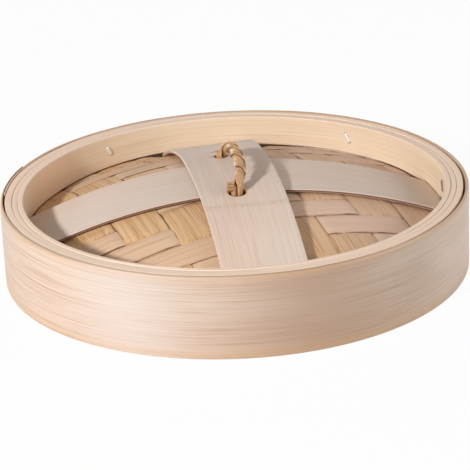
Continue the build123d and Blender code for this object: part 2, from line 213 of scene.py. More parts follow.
class FinishSettings(bpy.types.PropertyGroup):
    """Colours of the bamboo, the cane and the wire"""

    hoop_pale: colour("Hoop pale", "Pale wood of the hoops", srgb(206, 191, 180))
    hoop_tan: colour("Hoop tan", "Tan streaks of the hoops", srgb(192, 167, 144))
    hoop_fibre: colour("Hoop fibre", "Dark fibres of the hoops", srgb(160, 120, 78))
    # Painted shade for the outer hoop's darker stretch at the front-right, where the key lamp's light falls
    # off
    hoop_painted_shade: colour("Hoop ripe", "Riper stretch of the outer hoop", srgb(152, 125, 104))
    # Painted sheen of the key lamp on the outer hoop's front-left
    hoop_painted_sheen: colour("Hoop bloom", "Waxy stretch of the outer hoop", srgb(201, 192, 188))
    # Also the warmer tint painted on the outer hoop's right for the light there, besides the rosy clouds
    hoop_blush_and_tint: colour("Hoop blush", "Rosy clouds of the hoops", srgb(199, 177, 162))
    hoop_wax: colour("Hoop wax", "Waxy pale patches of the hoops", srgb(226, 216, 208))
    planed: colour("Planed", "Freshly planed upper edges of the hoops", srgb(231, 210, 194))
    facing_pale: colour("Facing pale", "Pale wood of the inner hoops", srgb(218, 199, 176))
    # Painted bounce light: the warm light that the panel throws onto the inner hoops' left
    facing_bounce: colour("Facing fresh", "Fresher stretch of the inner hoops", srgb(244, 210, 178))
    facing_tan: colour("Facing tan", "Tan streaks of the inner hoops", srgb(206, 179, 149))
    warp_pale: colour("Warp pale", "Pale wood of the warp strips", srgb(214, 180, 140))
    warp_tan: colour("Warp tan", "Golden streaks of the warp strips", srgb(191, 150, 106))
    warp_fibre: colour("Warp fibre", "Dark fibres of the warp strips", srgb(146, 102, 66))
    weft_pale: colour("Weft pale", "Pale wood of the weft strips", srgb(214, 187, 163))
    weft_tan: colour("Weft tan", "Tan streaks of the weft strips", srgb(197, 164, 132))
    weft_blush: colour("Weft blush", "Darker clouds of the weft strips", srgb(206, 174, 146))
    weft_fibre: colour("Weft fibre", "Dark fibres of the weft strips", srgb(170, 128, 88))
    # Painted light: a pinkish-grey tint that stands in for the cooler light on the panel's right
    strip_painted_tint: colour("Strip rosy", "Rosy wood on the right of the panel", srgb(211, 185, 171))
    strap_pale: colour("Strap pale", "Pale wood of the straps", srgb(212, 199, 189))
    strap_tan: colour("Strap tan", "Tan streaks of the straps", srgb(202, 186, 174))
    strap_blush: colour("Strap blush", "Rosy clouds of the straps", srgb(214, 190, 175))
    joint_specks: colour("Joint specks", "Specks along the top strap's cane joint", srgb(176, 146, 116))
    cut_wood: colour("Cut wood", "Raw wood round the top strap's holes", srgb(196, 140, 98))
    strap_fibre: colour("Strap fibre", "Dark fibres of the straps", srgb(186, 158, 136))
    # Mostly painted warm shade of the gaps between strips, over the strips' raw edge colour
    raw_edge_and_shade: colour("Raw edge", "Raw cut edges of the strips", srgb(108, 62, 38))
    rind: colour("Rind", "Golden rind along the outer hoop's edges", srgb(190, 152, 108))
    # Painted shade: a dark line for the gap between the outer and the middle hoop
    gap_shade: colour("Bark", "Line of bark along the outer hoop's upper edge", srgb(172, 130, 90))
    # Mostly painted shade of the gap under the straps, over the raw wood of their sides
    raw_side_and_shade: colour("Raw side", "Raw sides of the straps", srgb(108, 58, 34))
    cane_pale: colour("Cane pale", "Pale skin of the cane", srgb(197, 161, 119))
    cane_tan: colour("Cane tan", "Tan streaks of the cane", srgb(176, 135, 91))
    # Dark fibres of the cane, also the painted shade in the creases between its strands
    cane_fibre_and_shade: colour("Cane fibre", "Dark fibres of the cane", srgb(122, 76, 48))
    wire: colour("Wire", "Tinned wire of the staples", srgb(236, 234, 230))
    wire_worn: colour("Wire worn", "Drawing marks along the wire", srgb(150, 146, 138))
    wire_dull: colour("Wire dull", "Dull ends of the staples", srgb(92, 78, 68))
    floor: colour("Floor", "Colour of the studio floor", srgb(226, 226, 226))


class StageSettings(bpy.types.PropertyGroup):
    """Light and camera of the studio"""

    key_power: power("Key power", "Power of the key lamp", 42.0)
    key_distance: length("Key distance", "Distance of the key lamp", 2.0)
    key_size: length("Key size", "Width of the key lamp", 0.2)
    key_azimuth: angle("Key azimuth", "Where the key lamp stands, from the front to the left", 46.5)
    key_elevation: angle("Key elevation", "Height of the key lamp above the floor", 25)
    side_power: power("Side power", "Power of the soft lamp on the right", 14.2)
    side_tint: colour("Side tint", "Cool colour of the soft lamp", (0.88, 0.96, 1.0))
    side_distance: length("Side distance", "Distance of the soft lamp", 1.6)
    side_size: length("Side size", "Width of the soft lamp", 1.2)
    side_azimuth: angle("Side azimuth", "Where the soft lamp stands, from the front to the left", -68)
    side_elevation: angle("Side elevation", "Height of the soft lamp above the floor", 14)
    back_power: power("Back power", "Power of the low lamp behind", 4.0)
    back_size: length("Back size", "Width of the lamp behind", 0.4)
    back_elevation: angle("Back elevation", "Height of the lamp behind above the floor", 4)
    back_azimuth: angle("Back azimuth", "Where the lamp behind stands, from the front to the left", 165)
    fill: share("Fill", "Strength of the light from all round", 0.35)
    fill_tint: colour("Fill tint", "Warm colour of the light from all round", (1.0, 0.82, 0.67))
    floor_glow: share("Floor glow", "Share of plain white in the floor as the camera sees it", 0.95)
    view_azimuth: angle("View azimuth", "Where the camera stands, turned from the front to the right", -7.9)
    view_elevation: angle("View elevation", "Height of the camera above the floor", 21.69)
    view_roll: angle("View roll", "Tilt of the camera about its own axis", -2.61)
    view_distance: length("View distance", "Distance of the camera from the aim point", 1203.9 * MM)
    aim_height: length("Aim height", "Height of the aim point above the floor", 21.75 * MM)


SETTINGS = {
    "lid_rim": RimSettings,
    "lid_panel": PanelSettings,
    "lid_straps": StrapSettings,
    "lid_loop": LoopSettings,
    "lid_staples": StapleSettings,
    "lid_finish": FinishSettings,
    "lid_stage": StageSettings,
}


# Meshes

def new_object(name, mesh, material, body, replaced=()):
    """A mesh object that rides on a body and stands for some nodes of the frame."""
    piece = bpy.data.objects.new(name, mesh)
    bpy.context.scene.collection.objects.link(piece)
    mesh.materials.append(material)
    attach(piece, body)
    if replaced:
        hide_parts(*replaced)
    return piece


def store(mesh, name, values):
    """Keeps one number or one vector for each vertex under a name that materials read."""
    values = np.asarray(values, np.float32)
    kind = "FLOAT" if values.ndim == 1 else "FLOAT_VECTOR"
    field = "value" if values.ndim == 1 else "vector"
    mesh.attributes.new(name, kind, "POINT").data.foreach_set(field, values.ravel())


def smooth(mesh, sharp_angle=math.radians(42)):
    mesh.shade_smooth()
    mesh.set_sharp_from_angle(angle=sharp_angle)


def skin(name, rings, closed=False):
    """A mesh over a row of rings with equally many points, capped at its ends unless it closes."""
    rings = np.asarray(rings, float)
    rows, columns = rings.shape[:2]
    faces = []
    for row in range(rows if closed else rows - 1):
        here = row * columns
        there = (row + 1) % rows * columns
        for column in range(columns):
            beside = (column + 1) % columns
            faces.append((here + column, here + beside, there + beside, there + column))
    if not closed:
        faces.append(tuple(reversed(range(columns))))
        faces.append(tuple(range((rows - 1) * columns, rows * columns)))
    mesh = bpy.data.meshes.new(name)
    mesh.from_pydata(rings.reshape(-1, 3).tolist(), [], faces)
    mesh.update()
    return mesh


def points_of(mesh):
    co = np.zeros(len(mesh.vertices) * 3)
    mesh.vertices.foreach_get("co", co)
    return co.reshape(-1, 3)


def cut(mesh, cutters):
    """The mesh with closed cutter meshes taken out of it."""
    scene = bpy.context.scene
    body = bpy.data.objects.new("uncut", mesh)
    scene.collection.objects.link(body)
    tools = []
    for cutter in cutters:
        tool = bpy.data.objects.new("cutter", cutter)
        scene.collection.objects.link(tool)
        modifier = body.modifiers.new("cut", "BOOLEAN")
        modifier.operation = "DIFFERENCE"
        modifier.solver = "EXACT"
        modifier.object = tool
        tools.append(tool)
    graph = bpy.context.evaluated_depsgraph_get()
    made = bpy.data.meshes.new_from_object(body.evaluated_get(graph))
    made.name = mesh.name
    for gone in (body, *tools):
        bpy.data.objects.remove(gone)
    if not made.polygons:
        raise RuntimeError(f"cutting {mesh.name} left nothing")
    return made


class Ripple:
    """A smooth seeded wander along a line, between about -1 and 1.
    longest is its longest wave, in the unit of the places that it is asked for."""

    QUICKEN = 1.7
    FADE = 0.75

    def __init__(self, seed, longest, waves=4):
        draw = random.Random(seed)
        self.terms = []
        for wave in range(waves):
            pace = 2 * math.pi * self.QUICKEN**wave / longest
            self.terms.append((pace, draw.uniform(0, 2 * math.pi), self.FADE**wave))
        self.scale = 1 / sum(height for pace, start, height in self.terms)

    def __call__(self, place):
        place = np.asarray(place, float)
        return self.scale * sum(height * np.sin(pace * place + start) for pace, start, height in self.terms)


# Shares of a hoop's width where its faces have points, closer together near the edges
HOOP_LANES = (0.03, 0.07, 0.13, 0.25, 0.4, 0.55, 0.7, 0.85, 0.92, 0.97)


def slat_outline(low, high, inner, outer, lanes, rounds, segments=4):
    """Points round a slat's section: across from low to high, through it from inner to outer.
    lanes gives the shares of its width where its faces have points, from low outside and from high inside,
    and rounds the radii of its corners, in order: low outer, high outer, high inner, low inner."""
    corners = ((low, outer, 180), (high, outer, 90), (high, inner, 0), (low, inner, -90))
    points = []
    for number, ((u, v, start), radius) in enumerate(zip(corners, rounds)):
        middle = (u + (radius if u == low else -radius), v + (radius if v == inner else -radius))
        for step in range(segments + 1):
            turn = math.radians(start - 90 * step / segments)
            points.append((middle[0] + radius * math.cos(turn), middle[1] + radius * math.sin(turn)))
        if number in (0, 2):
            far_u, far_radius = corners[number + 1][0], rounds[number + 1]
            stop = far_u + (far_radius if far_u == low else -far_radius)
            points += [(middle[0] + (stop - middle[0]) * lane, v) for lane in lanes]
    return np.array(points)


# Materials

class Recipe:
    """A material's nodes, with short calls that add and join them."""

    SPACING = 180
    # Places of the colour sockets on a mix node
    FACTOR, FIRST, SECOND, RESULT = 0, 6, 7, 2

    def __init__(self, name):
        self.material = bpy.data.materials.new(name)
        self.material.use_nodes = True
        self.tree = self.material.node_tree
        self.shader = self.tree.nodes["Principled BSDF"]
        self.column = 0

    def add(self, kind, **settings):
        made = self.tree.nodes.new(kind)
        self.column -= 1
        made.location = (self.SPACING * self.column, 0)
        for key, value in settings.items():
            setattr(made, key, value)
        return made

    def join(self, source, target):
        self.tree.links.new(source, target)

    def grain(self):
        """Coordinates of the straight slat before it was bent: along, across and through it."""
        return self.add("ShaderNodeAttribute", attribute_name="grain").outputs["Vector"]

    def mark(self, name):
        return self.add("ShaderNodeAttribute", attribute_name=name).outputs["Fac"]

    def noise(self, vector, scales, detail=2.0, roughness=0.5):
        stretch = self.add("ShaderNodeVectorMath", operation="MULTIPLY")
        self.join(vector, stretch.inputs[0])
        stretch.inputs[1].default_value = scales
        made = self.add("ShaderNodeTexNoise")
        self.join(stretch.outputs[0], made.inputs["Vector"])
        made.inputs["Scale"].default_value = 1.0
        made.inputs["Detail"].default_value = detail
        made.inputs["Roughness"].default_value = roughness
        return made.outputs["Fac"]

    def remap(self, value, low, high, to_low=0.0, to_high=1.0):
        made = self.add("ShaderNodeMapRange")
        self.join(value, made.inputs["Value"])
        for key, number in (("From Min", low), ("From Max", high), ("To Min", to_low), ("To Max", to_high)):
            made.inputs[key].default_value = number
        return made.outputs["Result"]

    def math(self, operation, first, second):
        made = self.add("ShaderNodeMath", operation=operation)
        for socket, value in zip(made.inputs, (first, second)):
            if isinstance(value, float):
                socket.default_value = value
            else:
                self.join(value, socket)
        return made.outputs[0]

    def mix(self, factor, first, second):
        made = self.add("ShaderNodeMix", data_type="RGBA")
        for place, value in ((self.FACTOR, factor), (self.FIRST, first), (self.SECOND, second)):
            socket = made.inputs[place]
            if isinstance(value, bpy.types.NodeSocket):
                self.join(value, socket)
            elif isinstance(value, float):
                socket.default_value = value
            else:
                socket.default_value = (*value, 1.0)
        return made.outputs[self.RESULT]

    def stain(self, mark, share, colour):
        """Mixes a colour into the base colour where a mark is set, by a share that may vary too."""
        base = self.shader.inputs["Base Color"]
        factor = self.math("MULTIPLY", self.mark(mark), share)
        self.join(self.mix(factor, base.links[0].from_socket, colour), base)

    def bump(self, height, distance, strength=1.0):
        made = self.add("ShaderNodeBump")
        made.inputs["Strength"].default_value = strength
        made.inputs["Distance"].default_value = distance
        self.join(height, made.inputs["Height"])
        self.join(made.outputs["Normal"], self.shader.inputs["Normal"])


# Waves in a metre of a material's grain, along it, across it and through it
CLOUD_WAVES = (9, 26, 26)
EDGE_WAVES = (75, 9, 0)
SPECK_WAVES = (520, 900, 900)
CANE_FIBRE_WAVES = (60, 1700, 1700)
CANE_STREAK_WAVES = (40, 500, 500)
WIRE_WAVES = (300, 6000, 6000)

# Waves in a metre along bamboo's streaks and flecks, and how fine these are against its fibres
STREAK_WAVES = 7
STREAK_FINENESS = 0.3
FLECK_WAVES = 190
FLECK_FINENESS = 0.7

# Stretches of a noise over which a feature comes up, or falls off
STREAK_RISE = (0.32, 0.68)
BLUSH_RISE = (0.42, 0.66)
WAX_FALL = (0.3, 0.44)
FIBRE_RISE = (0.5, 0.72)
CLOUD_RISE = (0.3, 0.65)
FLECK_RISE = (0.7, 0.8)
GLOSS_RISE = (0.3, 0.7)
EDGE_RISE = (0.42, 0.6)
SPECK_RISE = (0.44, 0.68)
CANE_STREAK_RISE = (0.35, 0.68)
CANE_FIBRE_RISE = (0.52, 0.7)
WIRE_MARK_RISE = (0.55, 0.75)

# Strengths of these features, where two are given from the least to the most
BLUSH_SHARE = 0.6
WAX_SHARE = 0.55
CLOUD_LEAST = 0.45
FLECK_SHARE = 0.5
FLECK_DENT = -0.4
EDGE_SHARES = (0.1, 0.85)
SPECK_SHARES = (0.05, 0.7)
CANE_FIBRE_SHARE = 0.75
WIRE_MARK_SHARE = 0.5

# Surfaces: shine of the bamboo and spread of its roughness, roughness of cane and wire, and bumps
BAMBOO_SPECULAR = 0.3
ROUGHNESS_SPREAD = 0.16
CANE_ROUGHNESS = (0.38, 0.6)
WIRE_ROUGHNESS = (0.2, 0.38)
WIRE_METALLIC = 0.35
CANE_BUMP = 0.12 * MM
WIRE_BUMP = 0.01 * MM


def bamboo(
    name, pale, tan, fibre, streak, fibre_share, fibre_width,
    gloss=0.46, bump=0.05 * MM, blush=None, wax=None, runs=22,
):
    """Split bamboo: tan streaks, fine dark fibres along the slat, short flecks and a broad blush.
    streak and fibre_share say how strong streaks and fibres are, runs how many waves a fibre has in a
    metre, and gloss is the least roughness."""
    recipe = Recipe(name)
    grain = recipe.grain()
    fine = 1 / fibre_width
    streak_fine, fleck_fine = STREAK_FINENESS * fine, FLECK_FINENESS * fine
    broad = recipe.noise(grain, (STREAK_WAVES, streak_fine, streak_fine), detail=4, roughness=0.62)
    fibres = recipe.noise(grain, (runs, fine, fine), detail=2.5)
    cloud = recipe.noise(grain, CLOUD_WAVES, detail=2)
    flecks = recipe.noise(grain, (FLECK_WAVES, fleck_fine, fleck_fine), detail=1)
    tint = recipe.mix(recipe.remap(broad, *STREAK_RISE, to_high=streak), pale, tan)
    if blush:
        tint = recipe.mix(recipe.remap(cloud, *BLUSH_RISE, to_high=BLUSH_SHARE), tint, blush)
    if wax:
        tint = recipe.mix(recipe.remap(cloud, *WAX_FALL, to_low=WAX_SHARE, to_high=0.0), tint, wax)
    clouded = recipe.remap(cloud, *CLOUD_RISE, to_low=CLOUD_LEAST)
    lines = recipe.math("MULTIPLY", recipe.remap(fibres, *FIBRE_RISE), clouded)
    tint = recipe.mix(recipe.math("MULTIPLY", lines, fibre_share), tint, fibre)
    tint = recipe.mix(recipe.remap(flecks, *FLECK_RISE, to_high=FLECK_SHARE * fibre_share), tint, fibre)
    recipe.join(tint, recipe.shader.inputs["Base Color"])
    roughness = recipe.remap(broad, *GLOSS_RISE, to_low=gloss, to_high=gloss + ROUGHNESS_SPREAD)
    recipe.join(roughness, recipe.shader.inputs["Roughness"])
    recipe.shader.inputs["Specular IOR Level"].default_value = BAMBOO_SPECULAR
    recipe.bump(recipe.math("ADD", fibres, recipe.math("MULTIPLY", flecks, FLECK_DENT)), bump)
    return recipe


def hoop_bamboo(finish):
    """The outer hoop's skin side, with waxy patches and a golden rind, and painted light by stretches: a
    painted sheen where the key lamp glints at the front-left, painted shade where its light falls off at the
    front-right, a warmer tint painted on the right for the light there, and a line of painted shade along
    the gap to the middle hoop.
    """
    recipe = bamboo(
        "hoop_bamboo", finish.hoop_pale, finish.hoop_tan, finish.hoop_fibre,
        streak=0.7, fibre_share=1.0, fibre_width=0.34 * MM, gloss=0.42,
        blush=finish.hoop_blush_and_tint, wax=finish.hoop_wax,
    )
    # Painted sheen where the key lamp glints on the front-left of the wall
    recipe.stain("painted_sheen", 0.6, finish.hoop_painted_sheen)
    # A warmer tint painted on the right of the wall, standing in for the light there
    recipe.stain("painted_tint", 0.55, finish.hoop_blush_and_tint)
    # Painted shade where the key lamp's light falls off on the front-right of the wall
    recipe.stain("painted_shade", 0.8, finish.hoop_painted_shade)
    recipe.stain("rind", 0.3, finish.rind)
    # Painted shade of the gap between the outer and the middle hoop, along the top of the outer hoop's inner
    # face
    recipe.stain("gap_shade", 0.7, finish.gap_shade)
    return recipe.material


def facing_bamboo(finish):
    """The inner hoops' bamboo, with a warm stretch of painted bounce light on the left and freshly planed
    upper edges.
    """
    recipe = bamboo(
        "facing_bamboo", finish.facing_pale, finish.facing_tan, finish.hoop_fibre,
        streak=0.45, fibre_share=0.35, fibre_width=0.5 * MM, runs=14,
    )
    # Painted warm bounce light on the inner hoops' left
    recipe.stain("painted_bounce", 0.8, finish.facing_bounce)
    recipe.stain("planed", 0.75, finish.planed)
    return recipe.material


def strip_bamboo(recipe, finish, painted_tint):
    """A strip's bamboo, with a pinkish-grey tint painted on the panel's right for the cooler light there,
    and painted warm shade of the gaps in stretches along its raw edges.
    """
    # A pinkish-grey tint painted on the panel's right, standing in for the cooler light there
    recipe.stain("painted_tint", painted_tint, finish.strip_painted_tint)
    stretches = recipe.noise(recipe.grain(), EDGE_WAVES)
    # Painted warm shade of the gaps between strips, in stretches along the raw edges
    recipe.stain("edge", recipe.remap(stretches, *EDGE_RISE, *EDGE_SHARES), finish.raw_edge_and_shade)
    return recipe.material


def warp_bamboo(finish):
    """Golden, coarse bamboo of the warp strips."""
    recipe = bamboo(
        "warp_bamboo", finish.warp_pale, finish.warp_tan, finish.warp_fibre,
        streak=0.8, fibre_share=1.0, fibre_width=0.75 * MM, gloss=0.44, bump=0.14 * MM,
    )
    return strip_bamboo(recipe, finish, painted_tint=0.4)


def weft_bamboo(finish):
    """Paler, smoother bamboo of the weft strips."""
    recipe = bamboo(
        "weft_bamboo", finish.weft_pale, finish.weft_tan, finish.weft_fibre,
        streak=0.9, fibre_share=0.6, fibre_width=0.6 * MM, bump=0.08 * MM, blush=finish.weft_blush,
    )
    return strip_bamboo(recipe, finish, painted_tint=0.75)


def strap_bamboo(finish):
    """Strap bamboo, with specks along the cane joint and a raw orange cut round the holes."""
    recipe = bamboo(
        "strap_bamboo", finish.strap_pale, finish.strap_tan, finish.strap_fibre,
        streak=0.6, fibre_share=0.55, fibre_width=0.42 * MM, blush=finish.strap_blush,
    )
    # Painted shade under the straps' sides, over their raw wood colour
    recipe.stain("edge", 1.0, finish.raw_side_and_shade)
    specks = recipe.noise(recipe.grain(), SPECK_WAVES, detail=2)
    recipe.stain("joint", recipe.remap(specks, *SPECK_RISE, *SPECK_SHARES), finish.joint_specks)
    recipe.stain("cut_edge", 0.75, finish.cut_wood)
    return recipe.material


def cane(finish):
    """Twisted cane: glossy skin split into fibres, with painted shade in the creases between the two strands
    and dark blunt ends on its stubs.
    """
    recipe = Recipe("cane")
    grain = recipe.grain()
    fibres = recipe.noise(grain, CANE_FIBRE_WAVES, detail=3, roughness=0.6)
    broad = recipe.noise(grain, CANE_STREAK_WAVES, detail=2)
    tint = recipe.mix(recipe.remap(broad, *CANE_STREAK_RISE), finish.cane_pale, finish.cane_tan)
    split = recipe.remap(fibres, *CANE_FIBRE_RISE, to_high=CANE_FIBRE_SHARE)
    tint = recipe.mix(split, tint, finish.cane_fibre_and_shade)
    recipe.join(tint, recipe.shader.inputs["Base Color"])
    # Painted shade in the creases between the strands, and dark blunt ends on the stubs
    recipe.stain("crease_shade_and_dark_ends", 0.85, finish.cane_fibre_and_shade)
    roughness = recipe.remap(fibres, *GLOSS_RISE, *CANE_ROUGHNESS)
    recipe.join(roughness, recipe.shader.inputs["Roughness"])
    recipe.bump(fibres, CANE_BUMP)
    return recipe.material


def tinned_wire(finish):
    """Bright wire with drawing marks along it and dull ends."""
    recipe = Recipe("staple_wire")
    marks = recipe.noise(recipe.grain(), WIRE_WAVES, detail=2)
    worn = recipe.remap(marks, *WIRE_MARK_RISE, to_high=WIRE_MARK_SHARE)
    recipe.join(recipe.mix(worn, finish.wire, finish.wire_worn), recipe.shader.inputs["Base Color"])
    roughness = recipe.remap(marks, *GLOSS_RISE, *WIRE_ROUGHNESS)
    recipe.join(roughness, recipe.shader.inputs["Roughness"])
    recipe.shader.inputs["Metallic"].default_value = WIRE_METALLIC
    recipe.stain("dull", 0.9, finish.wire_dull)
    recipe.bump(marks, WIRE_BUMP)
    return recipe.material


# Rim

def node_radius(node):
    low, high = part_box(node)
    return max(-low.x, high.x, -low.y, high.y)


def facing_bore(rim):
    return node_radius("upper_facing_hoop") - rim.facing_wall


# Angles in degrees: where each hoop's lap ends, the step from one section to the next, the reach of the
# open wedge beside the outer hoop's lap, the slope of a slot's sides, and the longest waves of a hoop's
# top, its inner face and its cut edge
HOOP_LAPS = {
    "outer_hoop": 184, "middle_hoop": 60, "upper_clamp_hoop": 300,
    "upper_facing_hoop": 262, "lower_clamp_hoop": 262, "lower_facing_hoop": 300,
}
HOOP_STEP = 1.25
LAP_WEDGE = 2.6
SLOT_SLOPE = 0.25
TOP_WAVE, FACE_WAVE, EDGE_WAVE = 190, 120, 26

HOOP_SEEDS = {
    "outer_hoop": 11, "middle_hoop": 23, "upper_clamp_hoop": 37,
    "upper_facing_hoop": 41, "lower_clamp_hoop": 53, "lower_facing_hoop": 67,
}
# Room over a strap's end in its slot, and beside it
SLOT_ROOF_GAP = 0.25 * MM
CROSS_SLOT_EASE = 0.4 * MM
TOP_SLOT_EASE = 2 * MM
# A hoop's wander: the finer wave on its top and the sway of its inner face, as shares of edge_wander
FINE_SHARE = 0.4
SWAY_SHARE = 0.5
# Most that a round may take of a hoop's thickness, and the outer round as a multiple of that
ROUND_ROOM = 0.45
OUTER_ROUND_ROOM = 1.8
# Depth below the top edge down to which planing and the painted shade of the gap to the next hoop are full,
# and how far past full the rind starts.
# The rind measures the way up from the foot by a share, so it is wider there
PLANED_DEPTH = 0.3 * MM
GAP_SHADE_DEPTH = 0.5 * MM
RIND_START = 1.4
RIND_FOOT = 0.5


class StrapSlot:
    """A slot in the facing hoop's lower edge that closes on the end of a strap."""

    def __init__(self, scene, arc, direction, ease, tip):
        self.direction, self.arc, self.tip = direction, arc, tip
        self.bore = facing_bore(scene.lid_rim)
        self.over = arc.under + scene.lid_straps.thickness
        self.edge = math.degrees(math.asin((arc.half + ease) / self.bore))

    def top(self, off):
        """Height of the slot's roof at an angle off its middle."""
        along = self.bore * math.cos(math.radians(off))
        aside = self.bore * math.sin(math.radians(off))
        strap_top = self.arc.center + math.sqrt(self.over**2 - along**2)
        return strap_top + SLOT_ROOF_GAP - self.tip * aside / self.arc.half


def strap_slots(scene):
    """Slots of the facing hoop, one for each strap end."""
    cross, top = strap_arcs(scene)
    return [
        StrapSlot(scene, cross, 0, CROSS_SLOT_EASE, 0),
        StrapSlot(scene, top, 90, TOP_SLOT_EASE, scene.lid_straps.twist),
        StrapSlot(scene, cross, 180, CROSS_SLOT_EASE, 0),
        StrapSlot(scene, top, 270, TOP_SLOT_EASE, 0),
    ]


def hoop_stations(rim, outer, lap, wedge, short, slots):
    """Angles of a hoop's sections, from its thin outer end round to its inner end."""
    span = math.degrees(rim.lap_span)
    notch = math.degrees(rim.lap_gap / outer)
    start, stop = lap - span, lap + 360
    stations = set(np.arange(start, stop, HOOP_STEP).tolist())
    stations |= {stop, lap, lap + notch, lap + wedge, stop - span, stop - span + notch}
    for slot in slots:
        for turn in (-360, 0, 360):
            for side in (-1, 1):
                for step in (-1, 0, 1, 2):
                    stations.add(slot.direction + turn + side * (slot.edge + step * SLOT_SLOPE))
    return sorted(a for a in stations if start <= a <= stop - short)


def lap_faces(rim, bore, outer, a, lap, wedge):
    """Radii of a hoop's inner and outer face at an angle, thinned where its two ends lap."""
    span, tip, gap = math.degrees(rim.lap_span), rim.lap_tip, rim.lap_gap
    start, stop = lap - span, lap + 360
    inner_face, outer_face = bore, outer
    if a < lap:
        inner_face = outer - tip + (bore + 2 * tip - outer) * (a - start) / span + gap
    elif wedge and a < lap + wedge:
        inner_face = bore + tip * (1 - (a - lap) / wedge)
    if a > stop - span:
        outer_face = outer - tip - gap + (bore + 2 * tip - outer + gap) * (a - stop + span) / span
    return inner_face, outer_face


def raised_foot(a, level, slots):
    """Height of a hoop's lower edge at an angle: its own level, or a slot's roof."""
    foot = level
    for slot in slots:
        off = (a - slot.direction + 180) % 360 - 180
        if abs(off) < 90:
            rise = min(1.0, max(0.0, (slot.edge + SLOT_SLOPE - abs(off)) / SLOT_SLOPE))
            foot += max(0.0, slot.top(off) - level) * rise
    return foot


def bent_hoop(
    node, rim, wall, material,
    outer_round=None, slots=(), slack=0.0, swell=0.0, wedge=0.0, foot=None, lift=0.0, short=0.0,
):
    """One bent slat, closed by a tapered lap, on the place of a hoop of the frame.
    foot gives the height of its lower edge at an angle, where that isn't level."""
    low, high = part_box(node)
    outer = node_radius(node)
    bore = outer - wall
    lap, seed = HOOP_LAPS[node], HOOP_SEEDS[node]
    stations = hoop_stations(rim, outer, lap, wedge, short, slots)
    top_wander = Ripple(seed, TOP_WAVE, 5)
    face_wander = Ripple(seed + 1, FACE_WAVE)
    edge_wander = Ripple(seed + 2, EDGE_WAVE, 5)
    rings, grain, planed, gap_shade, rind = [], [], [], [], []
    for a in stations:
        turn = math.radians(a)
        inner_face, outer_face = lap_faces(rim, bore, outer, a, lap, wedge)
        loose = max(0.0, math.cos(turn - rim.slack_side)) ** 3
        outer_face += swell * (1 - loose) if slack == 0 else 0
        bottom = raised_foot(a, foot(a % 360) if foot else low.z, slots)
        top = high.z + lift + rim.edge_wander * (top_wander(a) - 1)
        top += FINE_SHARE * rim.edge_wander * edge_wander(a)
        sway = SWAY_SHARE * rim.edge_wander * face_wander(a)
        room = ROUND_ROOM * (outer_face - inner_face)
        small = min(rim.edge_round, room)
        rounds = [small, min(outer_round or rim.edge_round, OUTER_ROUND_ROOM * room), small, small]
        outline = slat_outline(bottom, top, inner_face, outer_face, HOOP_LANES, rounds, 5)
        below, above = top - outline[:, 0], outline[:, 0] - bottom
        inward = (outer_face - outline[:, 1]) / (outer_face - inner_face)
        outline[:, 1] += slack * loose * np.clip(1 - below / rim.flare, 0, 1) * np.clip(inward, 0, 1)
        planed.append(np.clip(2 - below / PLANED_DEPTH, 0, 1))
        inner_third = np.clip(3 * inward - 2, 0, 1)
        # Painted shade of the gap to the next hoop in, at the top of the inner face
        gap_shade.append(np.clip(2 - below / GAP_SHADE_DEPTH, 0, 1) * inner_third)
        rind.append(np.clip(RIND_START - np.minimum(below, RIND_FOOT * above) / rim.rind, 0, 1))
        radius = outline[:, 1] + sway * (outer_face - outline[:, 1]) / wall
        rings.append(np.stack([radius * math.cos(turn), radius * math.sin(turn), outline[:, 0]], axis=1))
        grain.append(np.stack([np.full(len(outline), turn * outer + seed), outline[:, 0], radius], axis=1))
    mesh = skin(node, rings)
    store(mesh, "grain", np.concatenate(grain))
    store(mesh, "planed", np.concatenate(planed))
    store(mesh, "gap_shade", np.concatenate(gap_shade))
    store(mesh, "rind", np.concatenate(rind))
    # Stretches round the rim that paint light: painted shade where the key lamp's light falls off, a painted
    # sheen where it glints, a warmer tint painted for the light on the right, and painted warm bounce light
    # on the inner hoops' left
    stretches = {
        "painted_shade": (rim.shade_side, rim.shade_span),
        "painted_sheen": (rim.sheen_side, rim.sheen_span),
        "painted_tint": (rim.tint_side, rim.tint_span),
        "painted_bounce": (rim.bounce_side, rim.bounce_span),
    }
    for mark, (side, reach) in stretches.items():
        off = (np.mod(stations, 360) - math.degrees(side)) / math.degrees(reach)
        store(mesh, mark, np.repeat(np.exp(-(off**2)), len(rings[0])))
    smooth(mesh)
    return new_object(f"bent_{node}", mesh, material, LID_BODY, [node])


class STEAMERLID_OT_hoops(bpy.types.Operator):
    """Bend the six hoops of the rim, each closed by a tapered lap"""

    bl_idname = "steamer_lid.hoops"
    bl_label = "Bend Hoops"

    def execute(self, context):
        scene = context.scene
        rim = scene.lid_rim
        skin_side, inside = hoop_bamboo(scene.lid_finish), facing_bamboo(scene.lid_finish)
        bent_hoop(
            "outer_hoop", rim, rim.outer_wall, skin_side, rim.outer_round,
            slack=rim.slack, wedge=LAP_WEDGE, short=math.degrees(rim.lap_short),
        )
        bent_hoop("middle_hoop", rim, rim.middle_wall, inside, swell=rim.swell, lift=rim.lift)
        bent_hoop("upper_clamp_hoop", rim, rim.clamp_wall, inside, swell=rim.seam, lift=rim.lift)
        bent_hoop(
            "upper_facing_hoop", rim, rim.facing_wall, inside,
            slots=strap_slots(scene), swell=rim.seam, foot=Dome(scene).facing_foot,
        )
        bent_hoop("lower_clamp_hoop", rim, rim.clamp_wall, inside)
        bent_hoop("lower_facing_hoop", rim, rim.facing_wall, inside)
        return {"FINISHED"}


# Woven panel

# Gap between two layers of hoops in the frame
LAYER_GAP = 0.2 * MM

# The straps hold the panel down this far beside them, and it comes free over this width
STRAP_HOLD = 1 * MM
STRAP_FADE = 14 * MM
# Share of the bore from which the panel rises towards the rim
RISE_START = 0.6
# Gap between the facing hoop and the panel at the back, and the hoop's rise as a multiple of the panel's
FOOT_GAP = 0.4 * MM
FOOT_RISE = 1.1

# Each strip floats over this many, and the twill's diagonals start this many strips on
TWILL_FLOAT = 2
TWILL_START = 3


